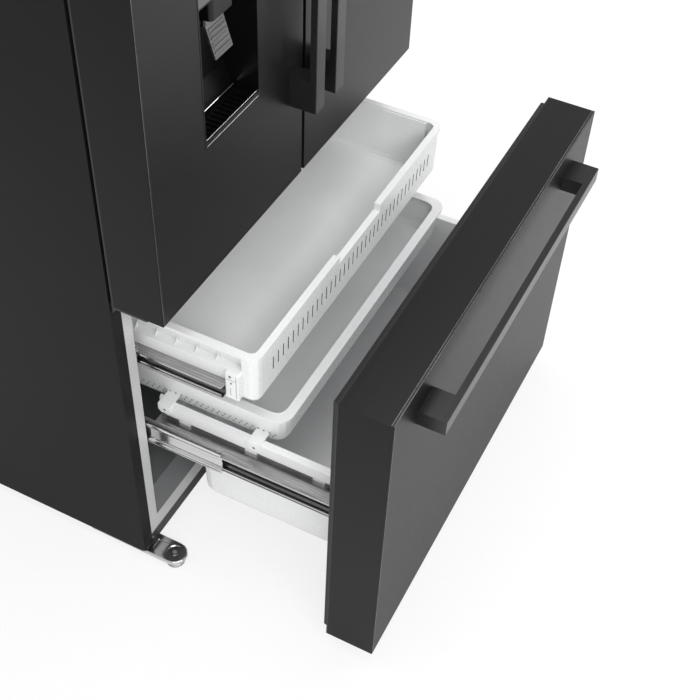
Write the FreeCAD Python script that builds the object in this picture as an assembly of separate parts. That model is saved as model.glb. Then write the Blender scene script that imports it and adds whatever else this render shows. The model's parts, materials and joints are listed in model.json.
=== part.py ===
"""French-door refrigerator with a bottom freezer drawer, in millimetres.

+Z is up and the doors face -Y. The floor is Z = 0 and the model stands centred on X = 0.
The freezer drawer is drawn pulled out, the two doors are drawn shut, and Y = 0 is halfway
between the back of the cabinet and the front of the open drawer's handle.
Each function below makes one sub-part, and the table at the end writes them all.
"""
import FreeCAD, Part
import math
import os
from FreeCAD import Vector

# ---------------------------------------------------------------- driving dimensions
# Cabinet
width = 908.0                   # cabinet, both doors together, and the drawer front
cabinet_depth = 610.0           # cabinet's front face to its back
cabinet_top = 1753.0            # floor to the top of the cabinet
foot_height = 27.0              # floor to the underside of the cabinet
steel = 1.5                     # sheet of the cabinet, the doors and the pans
sheet = 0.8                     # thinner rear sheets
side_return = 27.0              # steel face turned in at each side of the front
top_return = 25.0               # steel face turned down at the top of the front
toe_strip = 30.0                # steel face turned up at the bottom of the front
corner_radius = 10.0            # lower front corners of the side panels
side_insulation = 51.0          # cabinet's side to the compartments
top_insulation = 48.0
back_insulation = 60.0
liner_wall = 2.5
liner_corner = 14.0             # rounded inner corners of both compartments

# Compartments
freezer_top = 667.0             # ceiling of the freezer
freezer_floor = 130.0
sill_height = 95.0              # front edge of the freezer's floor
sill_depth = 28.0               # length of the slope behind that edge
fridge_floor = 751.0
rail_edge = 10.0                # liner flange above and below the centre rail
rail_thickness = 3.0
hump_depth = 200.0              # compressor step, forward from the freezer's back wall
hump_top = 300.0
machine_wall = 40.0             # insulation between that step and the machinery

# Doors and drawer front
door_depth = 96.0               # front face to the back face
door_bottom = 715.0
door_top_gap = 3.0              # the doors end this far below the cabinet's top
door_gap = 8.0                  # between the two doors
drawer_gap = 12.6               # between the doors and the drawer front
drawer_bottom = 44.5
drawer_open = 399.0             # how far the drawer is pulled out
seal_gap = 6.3                  # closed door's back to the cabinet's face
seal_inset = 10.0
seal_width = 14.0
door_edge = 3.0                 # inner door's flange behind the steel
door_panel = 58.0               # thickness of the inner door's recessed middle
dyke_hinge_inset = 58.0         # raised border of the inner door, from the hinged edge
dyke_free_inset = 44.0
dyke_end_inset = 56.0           # the same from the top and bottom edges
dyke_width = 16.0
dyke_height = 42.0

# Hinges
hinge_inset = 16.0              # door's outer edge to the hinge pin
hinge_setback = 40.0            # door's front face to the hinge pin
pin_radius = 7.0
pin_depth = 20.0
hinge_plate = 5.0
hinge_arm = 54.0                # width of the hinge plates
cover_height = 24.0             # hinge covers, above the cabinet
cover_wall = 2.0
cover_margin = 5.0              # hinge plate to the sides of its cover
cover_overlap = 8.0             # the same at its front and back
cover_corner = 6.0
plate_tail = 90.0               # hinge plate behind the cabinet's face
plate_nose = 15.0               # hinge plate ahead of the pin
plate_inset = 8.0               # cabinet's side to the top hinge's plate
running = 0.06                  # radial clearance of a pin in its hole
loose = 0.3                     # clearance between parts that slide past each other

# Handles
handle_length = 724.0
handle_width = 30.0
handle_bar = 12.0               # thickness of the flat bar
handle_reach = 50.0             # door's face to the front of the bar
handle_post = 60.0
door_handle_inset = 16.0        # free edge of a door to its handle
door_handle_bottom = 167.0      # bottom edge of a door to its handle
drawer_handle_drop = 57.5       # top edge of the drawer front to its handle

# Dispenser in the left door
dispenser_shift = 1.5           # middle of the door to the middle of the recess
recess_width = 155.0
recess_bottom = 257.0           # above the door's bottom edge
recess_height = 218.0
recess_depth = 62.0
recess_lower_depth = 45.0       # depth at the floor of the recess
recess_slope = 45.0             # height over which the back wall leans out
recess_lip = 10.0               # the front edge stands above the drip floor
lip_wall = 3.0
housing_wall = 2.5
panel_height = 96.0             # control panel above the recess
panel_thickness = 3.0
nozzle_width = 62.0
nozzle_height = 45.0
nozzle_setback = 10.0
paddle_width = 48.0
paddle_length = 62.0
paddle_thickness = 3.5
paddle_lean = 17.0              # degrees, lower end forward
paddle_pin = 3.0
paddle_ear = 6.0

# Upper tray
tray_rim_top = 623.0
tray_side = 27.0                # compartment's side to the tray's rim
tray_front_reach = 223.0        # pulled out past the cabinet's face
tray_depth = 440.0
tray_height = 114.0
tray_rim_width = 13.0
tray_rim_lip = 7.0
tray_wall = 3.0
tray_taper = 12.0               # each side draws in this much down to the bottom
tray_corner = 16.0
tray_nose = 34.0                # full-width part of the tray ahead of its slides
nose_taper = 2.0
tray_step = 8.0                 # the sides behind it stand in by this much
grip_width = 165.0              # lowered part of the front rim
grip_drop = 15.0
slot_pitch = 17.6
slot_width = 3.2
slot_height = 30.0
slot_drop = 41.0                # rim to the top of the slots
slot_margin = 56.0              # clear of slots at each end of the front wall
ledge_top_drop = 41.0           # rim to the top of the side ledges
clip_length = 26.0              # clip that closes the front end of each slide
clip_height = 60.0

# Middle tray
middle_rim_top = 453.0
middle_side = 21.0              # basket's rim to the middle tray's rim
middle_reach = 260.0            # pulled out past the cabinet's face
middle_depth = 367.0
middle_height = 84.0
middle_rim = 18.0
middle_taper = 10.0
middle_corner = 24.0
hook_width = 26.0
hook_front = 52.0               # front of the tray to the middle of its front hooks
hook_pitch = 186.0
hook_thickness = 3.2
hook_hole = 3.0

# Lower basket
basket_rim_top = 399.0
basket_side = 35.0              # compartment's side to the basket's rim
basket_rim_width = 15.0
basket_rim_lip = 24.0
basket_bottom = 162.0
basket_depth = 322.0            # at the bottom
basket_upper_depth = 396.0      # over the compressor step
basket_step = 320.0             # height of that upper floor
basket_wall = 3.0
basket_taper = 8.0
basket_corner = 20.0
basket_clear = 2.0              # basket to the inner drawer front

# Telescopic slides (drawer, tray): centre height, height, length, race thickness
slide_depth = 13.0              # wall to the lips of the outer rail
slide_steel = 1.5
drawer_slide_z = 344.0
drawer_slide_height = 58.0
drawer_slide_race = 8.0
drawer_slide_length = 396.0
tray_slide_z = 542.0
tray_slide_height = 40.0
tray_slide_race = 5.0
tray_slide_length = 410.0
drawer_middle_short = 33.0      # middle members are this much shorter than the outer ones
tray_middle_short = 118.0
slide_setback = 10.0            # cabinet's face to the front end of the outer rails
slide_round = 2.0               # bevelled edges of the ball races
tab_inset = 5.0                 # compartment's side to the drawer rail's end plate
tab_reach = 10.0                # that plate past the rail
tab_drop = 24.0                 # that plate below the rail's middle
tray_flange = 16.0              # load flange of the tray's inner rails
drawer_flange = 24.0
tray_travel_ratio = 0.617       # upper tray's travel for each unit of the drawer's

# Foot brackets and rollers
bracket_width = 50.0
bracket_inset = 3.0             # cabinet's side to the bracket
bracket_reach = 51.0            # cabinet's face to the middle of the rounded nose
bracket_tail = 130.0            # length of the bracket under the cabinet
bracket_plate = 3.0
bracket_skirt = 9.0
nose_steps = 8                  # straight steps round the half circle of the nose
dimple_radius = 17.0
dimple_depth = 1.8
square_size = 24.0
foot_radius = 19.0
foot_pad = 6.0
foot_sides = 16
stem_radius = 5.0
roller_radius = 18.0
roller_sides = 20
roller_width = 20.0
roller_inset = 54.0             # cabinet's side to the middle of the roller
roller_setback = 70.0           # cabinet's back to the axle
axle_radius = 4.0

# Inside the refrigerator compartment
shelf_count = 3
first_shelf = 138.0             # crisper cover to the shelf above it
shelf_thickness = 9.0
shelf_frame = 22.0
glass = 4.0
shelf_setback = 113.0           # cabinet's face to the front of the shelves
shelf_ledge = 10.0
crisper_height = 150.0
crisper_gap = 7.0               # to the compartment's middle and to its side
crisper_rib = 3.0
crisper_wall = 2.5
guide_half = 3.0                # guide between the crispers, under their cover
guide_drop = 40.0
guide_setback = 10.0
guide_bar = 12.0
shelf_gap = 3.0                 # shelves to the duct behind them
lens_half = 130.0
lens_depth = 70.0
lens_setback = 40.0             # front of the shelves to the lens
lens_drop = 8.0
duct_half = 110.0
duct_depth = 25.0
fold_width = 68.0               # folding centre strip between the doors
fold_thickness = 20.0
fold_pin = 3.0
bin_height = 110.0
bin_pitch = 240.0               # least height that a bin takes up in the door
bin_seat = 13.0                 # inner door's border to the bottom bin
bin_reach = 100.0               # closed door's back to the front of its bins
bin_wall = 2.5
bin_peg = 9.0
tank_height = 180.0
tank_half = 110.0
tank_reach = 72.0               # closed door's back to the front of the tank
tank_wall = 3.0
tank_corner = 14.0
tank_lid = 6.0
tank_cap = 26.0                 # radius of the filling cap
tank_room = 27.0                # tank's lid to the bin above it
bulge_depth = 15.0              # inner door stands out this far behind the dispenser
bulge_margin = 20.0

# Freezer air and the machinery
cover_gap = 40.0                # evaporator cover to the freezer's back wall
cover_sheet = 3.0
fan_radius = 48.0
condenser_fan_radius = 74.0
fan_depth = 10.0
condenser_fan_depth = 22.0
fan_gap = 4.0                   # evaporator cover to its fan
fan_rise = 95.0                 # above the middle of the cover
shaft_radius = 2.5
motor_size = 40.0
motor_depth = 15.0
compressor_radius = 82.0
compressor_height = 176.0
compressor_sides = 24
coil_fin = 1.6                  # thickness of a fin
coil_lip = 6.0                  # fins stand this far out of the coil's core
coil_tube = 4.5                 # radius of the tube ends
louvre_length = 96.0
louvre_height = 9.0
louvre_pitch = 36.0
small_round = 8.5               # rounds at a tub's base up to this are a single bevel
corner_sag = 0.9                # a moulded corner's facets stay within this of the true round

# ---------------------------------------------------------------- places worked out from them
half = width / 2
total_depth = handle_reach + drawer_open + door_depth + seal_gap + cabinet_depth
y_door = handle_reach + drawer_open - total_depth / 2
y_cab = y_door + door_depth + seal_gap
y_back = y_cab + cabinet_depth
y_drawer = y_door - drawer_open
y_drawer_back = y_drawer + door_depth
door_top = cabinet_top - door_top_gap
drawer_top = door_bottom - drawer_gap
cavity_half = half - side_insulation
tray_half = cavity_half - tray_side
basket_half = cavity_half - basket_side
middle_half = basket_half - middle_side
fridge_ceiling = cabinet_top - top_insulation
y_cavity_back = y_back - back_insulation
y_hump = y_cavity_back - hump_depth
free_edge = door_gap / 2
dispenser_x = dispenser_shift - (half + free_edge) / 2
pin_x = half - hinge_inset
pin_y = y_door + hinge_setback
front_skin = rail_thickness + 0.2      # everything in the cabinet's face is thinner than this
y_machine = y_hump + machine_wall
machine_top = hump_top - machine_wall
y_evaporator_cover = y_cavity_back - cover_gap
y_shelf = y_cab + shelf_setback
y_duct = y_cavity_back - duct_depth


# ---------------------------------------------------------------- helpers
def block(x0, x1, y0, y1, z0, z1):
    """Box between two corners."""
    return Part.makeBox(x1 - x0, y1 - y0, z1 - z0, Vector(x0, y0, z0))


def cylinder(radius, height, place, axis=Vector(0, 0, 1)):
    return Part.makeCylinder(radius, height, Vector(*place), axis)


def joined(*shapes):
    """One solid from overlapping or touching ones."""
    return shapes[0].fuse(list(shapes[1:])).removeSplitter()


def without(shape, *tools):
    return shape.cut(list(tools)).removeSplitter()


def mirrored(shape):
    """The same piece on the other side of the middle plane."""
    return shape.mirror(Vector(0, 0, 0), Vector(1, 0, 0))


def pair(shape):
    """A piece and its mirror image, as two solids."""
    return Part.makeCompound([shape, mirrored(shape)])


def round_edges(shape, radius, pick):
    """Fillet the edges for which pick(edge) is true."""
    return shape.makeFillet(radius, [edge for edge in shape.Edges if pick(edge)])


def along(edge, axis):
    """True for a straight edge parallel to one axis: 0, 1 or 2."""
    if edge.Curve.TypeId != "Part::GeomLine":
        return False
    direction = edge.Vertexes[-1].Point - edge.Vertexes[0].Point
    return abs(abs((direction.x, direction.y, direction.z)[axis]) - edge.Length) < 1e-6


def prism(points, axis, start, end):
    """Flat outline pushed along one axis: points are (y, z), (x, z) or (x, y)."""
    if axis == 0:
        corners = [Vector(start, a, b) for a, b in points]
    elif axis == 1:
        corners = [Vector(a, start, b) for a, b in points]
    else:
        corners = [Vector(a, b, start) for a, b in points]
    step = [0.0, 0.0, 0.0]
    step[axis] = end - start
    return Part.Face(Part.makePolygon(corners + corners[:1])).extrude(Vector(*step))


def corner_steps(radius):
    """How many straight steps a round corner takes."""
    return math.ceil(math.pi / 4 / math.acos(1 - corner_sag / radius))


def corner_points(x0, x1, y0, y1, radius, steps):
    """Points round a rectangle whose corners are drawn in short straight steps."""
    points = []
    for x, y, start in ((x1 - radius, y0 + radius, -90), (x1 - radius, y1 - radius, 0),
                        (x0 + radius, y1 - radius, 90), (x0 + radius, y0 + radius, 180)):
        for i in range(steps + 1):
            turn = math.radians(start + 90 * i / steps)
            points.append((x + radius * math.cos(turn), y + radius * math.sin(turn)))
    return points


def stacked(levels):
    """Solid with flat faces between level outlines: a list of (height, points)."""
    loops = [[Vector(x, y, z) for x, y in points] for z, points in levels]
    rings = [loops[0], loops[-1]]
    for low, high in zip(loops, loops[1:]):
        for i in range(len(low)):
            j = (i + 1) % len(low)
            rings.append([low[i], low[j], high[j], high[i]])
    faces = [Part.Face(Part.makePolygon(ring + ring[:1])) for ring in rings]
    solid = Part.makeSolid(Part.makeShell(faces))
    return solid if solid.Volume > 0 else solid.reversed()


def tub(top, bottom, z0, z1, corner, base_round):
    """Solid of a moulded tub: rectangles (x0, x1, y0, y1) at its top and bottom, rounded below."""
    steps = corner_steps(corner)

    def level(share, inset, z):
        x0, x1, y0, y1 = [b + (t - b) * share for t, b in zip(top, bottom)]
        return z, corner_points(x0 + inset, x1 - inset, y0 + inset, y1 - inset, corner - inset / 2, steps)
    rise = base_round / (z1 - z0)
    levels = [level(0, base_round, z0), level(rise, 0, z0 + base_round), level(1, 0, z1)]
    if base_round > small_round:
        knee = 0.3              # the middle of the round lies this share in from both ends
        levels.insert(1, level(knee * rise, knee * base_round, z0 + knee * base_round))
    return stacked(levels)


def slab(x0, x1, y0, y1, z0, z1, radius):
    """Flat plate with round corners."""
    return prism(corner_points(x0, x1, y0, y1, radius, corner_steps(radius)), 2, z0, z1)


def polygon(x, y, radius, sides):
    """Corners of a regular outline."""
    turns = [2 * math.pi * i / sides for i in range(sides)]
    return [(x + radius * math.cos(turn), y + radius * math.sin(turn)) for turn in turns]


def inset_box(rectangle, amount):
    x0, x1, y0, y1 = rectangle
    return (x0 + amount, x1 - amount, y0 + amount, y1 - amount)


# ---------------------------------------------------------------- cabinet
def outer_shell():
    """Wrapped steel: two sides and the top, with the face turned in round the front."""
    body = block(-half, half, y_cab, y_back, foot_height, cabinet_top)
    body = round_edges(body, corner_radius, lambda e: along(e, 0) and
                       e.CenterOfMass.z < foot_height + 1 and e.CenterOfMass.y < y_cab + 1)
    hollow = block(-half + steel, half - steel, y_cab + steel, y_back + 1,
                   foot_height - 1, cabinet_top - steel)
    mouth = block(-half + side_return, half - side_return, y_cab - 1, y_cab + steel + 1,
                  foot_height - 1, cabinet_top - top_return)
    return without(body, hollow, mouth)


def back_panel():
    """Rear sheet above the machinery, folded into shallow upright ribs."""
    inner = half - steel - 0.2
    front, crest = y_back - 5.5, y_back - 3
    profile = [(-inner, front)]
    for i in range(-3, 4):
        x = i * inner / 4
        profile += [(x - 32, front), (x - 26, crest), (x + 26, crest), (x + 32, front)]
    profile.append((inner, front))
    rear = [(x, y + sheet) for x, y in reversed(profile)]
    return prism(profile + rear, 2, machine_top + 2, cabinet_top - steel - 0.2)


def roller_place(side):
    return side * (half - roller_inset), y_back - roller_setback


def base_pan():
    """Floor of the cabinet with its toe strip, and a fork with an axle for each rear roller."""
    inner = half - steel - 0.2
    pan = block(-inner, inner, y_cab + steel, y_back - 6, foot_height, foot_height + steel)
    toe = block(-half + side_return, half - side_return, y_cab, y_cab + steel + 1,
                foot_height, foot_height + toe_strip)
    parts = [pan, toe]
    wells = []
    ear_gap = roller_width / 2 + 1
    for side in (-1, 1):
        x, y = roller_place(side)
        reach = roller_radius + 4
        wells.append(block(x - ear_gap, x + ear_gap, y - reach, y + reach, foot_height - 1,
                           foot_height + steel + 1))
        for out in (-1, 1):
            inner_face = x + out * ear_gap
            parts.append(block(min(inner_face, inner_face + out * 3), max(inner_face, inner_face + out * 3),
                               y - 11, y + 11, roller_radius - 8, foot_height + 12))
        parts.append(cylinder(axle_radius, 2 * ear_gap, (x - ear_gap, y, roller_radius), Vector(1, 0, 0)))
    return joined(without(joined(pan, toe), *wells), *parts[2:])


def freezer_space(grow):
    """Freezer compartment's side outline pushed across it, grown outward by a wall."""
    low, top, back = freezer_floor - grow, freezer_top + grow, y_cavity_back + grow
    points = [(y_cab, sill_height - grow), (y_cab + sill_depth, low), (y_hump + grow, low),
              (y_hump + grow, hump_top - grow), (back, hump_top - grow), (back, top), (y_cab, top)]
    return prism(points, 0, -cavity_half - grow, cavity_half + grow)


def fridge_space(grow):
    return block(-cavity_half - grow, cavity_half + grow, y_cab, y_cavity_back + grow,
                 fridge_floor - grow, fridge_ceiling + grow)


def soft_corners(space):
    """Round the compartment's inner corners that run from front to back."""
    return round_edges(space, liner_corner, lambda e: along(e, 1))


def liner(space, low, high, mouth_low, mouth_high):
    """Formed liner: walls round a space and a flange in the cabinet's face."""
    flange_half = half - side_return
    flange = without(block(-flange_half, flange_half, y_cab, y_cab + liner_wall, low, high),
                     block(-cavity_half, cavity_half, y_cab - 1, y_cab + liner_wall + 1,
                           mouth_low, mouth_high))
    shell = without(space(liner_wall), soft_corners(space(0)))
    return joined(shell, flange)


def freezer_liner():
    return liner(freezer_space, foot_height + toe_strip, freezer_top + rail_edge, sill_height, freezer_top)


def fridge_liner():
    """Refrigerator liner with shelf ledges on its sides and crisper ribs on its floor."""
    body = liner(fridge_space, fridge_floor - rail_edge, cabinet_top - top_return,
                 fridge_floor, fridge_ceiling)
    extras = []
    for z in ledge_heights():
        ledge = block(cavity_half - shelf_ledge, cavity_half + 1, y_shelf + 12, y_duct - 12, z - 8, z)
        extras += [ledge, mirrored(ledge)]
    for x in crisper_rib_places():
        extras.append(block(x - 4, x + 4, y_shelf + 6, y_duct - 20, fridge_floor - 1,
                            fridge_floor + crisper_rib))
    return joined(body, *extras)


def shelf_heights():
    """Undersides of the glass shelves, evenly spaced up to the ceiling."""
    low = crisper_cover_z() + first_shelf
    return [low + i * (fridge_ceiling - low) / shelf_count for i in range(shelf_count)]


def ledge_heights():
    return [crisper_cover_z()] + shelf_heights()


def crisper_cover_z():
    return fridge_floor + crisper_rib + loose + crisper_height + 18


def crisper_rib_places():
    return [side * (cavity_half / 2 + shift) for side in (-1, 1) for shift in (-120, 120)]


def insulation_foam():
    """Foam between the steel and the liners, open for the machinery."""
    inner = half - steel
    body = block(-inner, inner, y_cab + front_skin, y_back - 6, foot_height + steel, cabinet_top - steel)
    machinery = block(-inner - 1, inner + 1, y_machine, y_back, foot_height, machine_top)
    return without(body, machinery, freezer_space(liner_wall), fridge_space(liner_wall))


def center_rail():
    """Steel cross rail between the two compartments."""
    reach = half - side_return
    return block(-reach, reach, y_cab, y_cab + rail_thickness, freezer_top + rail_edge,
                 fridge_floor - rail_edge)


def top_hinges():
    """Plate on the cabinet's top with a pin down into the door."""
    x0, x1 = -half + plate_inset, -half + plate_inset + hinge_arm
    plate = block(x0, x1, pin_y - plate_nose, y_cab + plate_tail, cabinet_top, cabinet_top + hinge_plate)
    plate = plate.makeChamfer(10, [e for e in plate.Edges if along(e, 2) and e.CenterOfMass.y < pin_y])
    pin = cylinder(pin_radius, door_top_gap + pin_depth + 1, (-pin_x, pin_y, door_top - pin_depth))
    return pair(joined(plate, pin))


def hinge_covers():
    """Plastic cap over each top hinge."""
    x0 = -half + plate_inset - cover_margin
    x1 = x0 + hinge_arm + 2 * cover_margin
    y0, y1 = pin_y - plate_nose - cover_overlap, y_cab + plate_tail + cover_overlap

    top = cabinet_top + cover_height
    body = block(x0, x1, y0, y1, cabinet_top, top)
    body = body.makeChamfer(cover_corner, [e for e in body.Edges if along(e, 2)])
    body = body.makeChamfer(cover_wall, [e for e in body.Edges if e.CenterOfMass.z > top - 0.1])
    wall = 2 * cover_wall
    hollow = block(x0 + wall, x1 - wall, y0 + wall, y1 - wall, cabinet_top - 1, top - cover_wall)
    return pair(without(body, hollow))


def middle_hinge_z():
    """Underside of the plate between a door and the drawer front."""
    return (drawer_top + door_bottom) / 2 - hinge_plate / 2


def middle_hinges():
    """Bracket on the cabinet's face with a collar and a pin up into the door."""
    x0, x1 = -half + 4, -half + 4 + hinge_arm - 6
    z0 = middle_hinge_z()
    plate = block(x0, x1, pin_y - 13, y_cab, z0, z0 + hinge_plate)
    plate = plate.makeChamfer(9, [e for e in plate.Edges if along(e, 2) and e.CenterOfMass.y < pin_y])
    tab = block(x0, x1, y_cab - 3, y_cab, z0 - seal_inset, z0 + hinge_plate + seal_inset - 2)
    collar = prism(polygon(-pin_x, pin_y, pin_radius + 4, 8), 2, z0, door_bottom - loose)
    pin = cylinder(pin_radius, door_bottom + pin_depth - z0 - 1, (-pin_x, pin_y, z0 + 1))
    return pair(joined(plate, tab, collar, pin))


def foot_place():
    """Middle of the left foot bracket's nose."""
    return -half + bracket_inset + bracket_width / 2, y_cab - bracket_reach


def foot_brackets():
    """Pressed steel plate with a rolled skirt, a round and a square dimple, and the foot's nut."""
    x, y = foot_place()
    r = bracket_width / 2
    top, low = foot_height, foot_height - bracket_skirt

    def plan(radius, z0, z1, tail):
        turns = [math.pi + math.pi * i / nose_steps for i in range(nose_steps + 1)]
        nose = [(x + radius * math.cos(turn), y + radius * math.sin(turn)) for turn in turns]
        return prism(nose + [(x + radius, y_cab + tail), (x - radius, y_cab + tail)], 2, z0, z1)
    body = plan(r, low, top, bracket_tail)
    body = body.makeChamfer(2, [e for e in body.Edges if e.CenterOfMass.z > top - 0.1 and
                                e.CenterOfMass.y < y_cab + 50])
    under = plan(r - bracket_plate, low - 1, top - bracket_plate, bracket_tail + 1)
    dimple = prism(polygon(x, y, dimple_radius, 12), 2, top - dimple_depth, top + 1)
    side = square_size / 2
    y_square = y + dimple_radius + 4 + side
    square = block(x - side, x + side, y_square - side, y_square + side, top - dimple_depth, top + 1)
    nut = prism(polygon(x, y, stem_radius + 5, 6), 2, top - bracket_plate - 6, top - dimple_depth - 1)
    boss = prism(polygon(x, y, stem_radius + 2.5, nose_steps), 2, top - dimple_depth, top)
    thread = cylinder(stem_radius + running, bracket_skirt + 8, (x, y, low - 6))
    shell = without(body, under, dimple, square)
    return pair(without(joined(shell, nut, boss), thread))


def leveling_foot(side):
    """Foot pad and its threaded stem, turned by hand under the bracket."""
    x, y = foot_place()
    x = -side * x
    wide = polygon(x, y, foot_radius, foot_sides)
    pad = stacked([(0, wide), (foot_pad / 2, wide), (foot_pad, polygon(x, y, foot_radius - 5, foot_sides))])
    nut = prism(polygon(x, y, 9, 6), 2, foot_pad - 1, foot_pad + 5)
    stem = cylinder(stem_radius, foot_height - foot_pad, (x, y, foot_pad - 0.5))
    return joined(pad, nut, stem)


def rear_rollers():
    rollers = []
    for side in (-1, 1):
        x, y = roller_place(side)
        wheel = prism(polygon(y, roller_radius, roller_radius, roller_sides), 0,
                      x - roller_width / 2, x + roller_width / 2)
        bore = cylinder(axle_radius + running, roller_width + 2, (x - roller_width / 2 - 1, y, roller_radius),
                        Vector(1, 0, 0))
        rollers.append(without(wheel, bore))
    return Part.makeCompound(rollers)


# ---------------------------------------------------------------- inside the refrigerator
def shelf_plan(inset):
    return (-cavity_half + 2 + inset, cavity_half - 2 - inset, y_shelf + inset, y_duct - shelf_gap - inset)


def shelf_frame_at(z):
    frame = block(*shelf_plan(0), z, z + shelf_thickness)
    opening = block(*shelf_plan(shelf_frame), z - 1, z + shelf_thickness + 1)
    rebate = block(*shelf_plan(shelf_frame / 2), z + shelf_thickness - glass, z + shelf_thickness + 1)
    return without(frame, opening, rebate)


def shelf_pane_at(z):
    return block(*shelf_plan(shelf_frame / 2 + 0.2), z + shelf_thickness - glass, z + shelf_thickness)


def shelf_frames():
    return Part.makeCompound([shelf_frame_at(z) for z in shelf_heights()])


def shelf_panes():
    return Part.makeCompound([shelf_pane_at(z) for z in ledge_heights()])


def crisper_cover():
    """Frame over the crispers, with a middle guide between them."""
    z = crisper_cover_z()
    guide = block(-guide_half, guide_half, y_shelf + guide_setback, y_duct - 3 * guide_setback,
                  z - guide_drop, z + 1)
    bar = block(-guide_bar, guide_bar, y_shelf, y_duct - shelf_gap, z, z + shelf_thickness - glass)
    return joined(shelf_frame_at(z), guide, bar)


def crisper(side):
    """Clear drawer with a grip along the top of its front."""
    z0 = fridge_floor + crisper_rib + loose
    z1 = z0 + crisper_height
    y0, y1 = y_shelf + 3, y_duct - 15
    top = (crisper_gap, cavity_half - crisper_gap, y0 + 4, y1)
    low = (crisper_gap + 10, cavity_half - crisper_gap - 10, y0 + 10, y1 - 10)
    outer = tub(top, low, z0, z1, 14, 10)
    inner = tub(inset_box(top, crisper_wall), inset_box(low, crisper_wall), z0 + crisper_wall,
                z1 + 1, 12, 9)
    grip = prism([(y0, z1 - 34), (y0, z1), (y0 + 8, z1), (y0 + 8, z1 - 30)], 0,
                 crisper_gap + 16, cavity_half - crisper_gap - 16)
    body = without(joined(outer, grip), inner)
    return body if side > 0 else mirrored(body)


def air_duct_cover():
    """Upright duct on the back wall with pairs of vents."""
    z0, z1 = crisper_cover_z() + liner_corner, fridge_ceiling - liner_corner
    body = block(-duct_half, duct_half, y_duct, y_cavity_back, z0, z1)
    body = body.makeChamfer(8, [e for e in body.Edges if along(e, 2) and e.CenterOfMass.y < y_duct + 1])
    vents = []
    for z in shelf_heights():
        for side in (-1, 1):
            for i in range(3):
                level = z + 60 + 14 * i
                x = side * duct_half * 0.55
                vents.append(block(x - 26, x + 26, y_duct - 1, y_duct + 8, level, level + 5))
    return without(body, *vents)


def ceiling_light_lens():
    """Shallow lens under the ceiling, ahead of the duct."""
    low = fridge_ceiling - lens_drop
    body = block(-lens_half, lens_half, y_shelf + lens_setback, y_shelf + lens_setback + lens_depth,
                 low, fridge_ceiling)
    return body.makeChamfer(lens_drop / 2, [e for e in body.Edges if e.CenterOfMass.z < low + 0.1])


# ---------------------------------------------------------------- freezer air and machinery
def fan_place():
    """Middle of the evaporator fan: on the cover, high up."""
    return 0.0, (hump_top + freezer_top) / 2 + fan_rise


def evaporator_cover():
    """Back panel of the freezer with a fan outlet above and return slots below."""
    x, z = fan_place()
    low, high = hump_top + 2, freezer_top - 2
    face = block(-cavity_half + liner_corner, cavity_half - liner_corner, y_evaporator_cover,
                  y_evaporator_cover + cover_sheet, low + liner_corner, high - liner_corner)
    outlet = prism(polygon(x, z, fan_radius + 4, 16), 1, y_evaporator_cover - 1,
                   y_evaporator_cover + cover_sheet + 1)
    reach = fan_radius + 5
    bars = [block(x - reach, x + reach, y_evaporator_cover, y_evaporator_cover + cover_sheet,
                  z + 24 * i - 2, z + 24 * i + 2) for i in range(-1, 2)]
    slots = [block(70 * i - 26, 70 * i + 26, y_evaporator_cover - 1, y_evaporator_cover + cover_sheet + 1,
                   low + 34, low + 41) for i in range(-4, 5)]
    rim = block(cavity_half - liner_corner - 5, cavity_half - liner_corner, y_evaporator_cover,
                y_cavity_back, low + liner_corner, high - liner_corner)
    return joined(without(face, outlet, *slots), *bars, rim, mirrored(rim))


def finned_block(x0, x1, y0, y1, z0, z1, fins):
    """Coil as a core with fins standing proud of it, and the ends of its two pipes."""
    step = (x1 - x0) / fins
    parts = [block(x0, x1, y0 + coil_lip, y1 - coil_lip, z0, z1)]
    for i in range(fins + 1):
        x = x0 + i * step
        parts.append(block(x - coil_fin / 2, x + coil_fin / 2, y0, y1, z0, z1))
    for z in (z0 + (z1 - z0) / 4, z1 - (z1 - z0) / 4):
        parts.append(prism(polygon((y0 + y1) / 2, z, coil_tube, 8), 0, x1 - 1, x1 + 12))
    return parts


def evaporator_coil():
    """Finned block behind the cover."""
    reach = cavity_half - 90
    return joined(*finned_block(-reach, reach, y_evaporator_cover + cover_sheet + 4, y_cavity_back,
                                hump_top + 24, hump_top + 170, 10))


def fan_rotor(radius, depth, blades, bore):
    """Hub and pitched blades about the Y axis at the origin, the hub flat behind each blade."""
    hub = prism(polygon(0, 0, radius * 0.34, 2 * blades), 1, 0, depth)
    parts = [hub]
    for i in range(blades):
        blade = block(radius * 0.2, radius * 0.96, -depth * 0.07, depth * 0.07, -radius * 0.26, radius * 0.26)
        blade.rotate(Vector(0, 0, 0), Vector(1, 0, 0), 28)
        blade.translate(Vector(0, depth / 2, 0))
        blade.rotate(Vector(0, 0, 0), Vector(0, 1, 0), 360 * i / blades)
        parts.append(blade)
    return without(joined(*parts), cylinder(bore, depth - 3, (0, 3, 0), Vector(0, 1, 0)))


def evaporator_fan():
    x, z = fan_place()
    rotor = fan_rotor(fan_radius, fan_depth, 5, shaft_radius + running)
    rotor.translate(Vector(x, y_evaporator_cover + cover_sheet + fan_gap, z))
    return rotor


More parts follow.
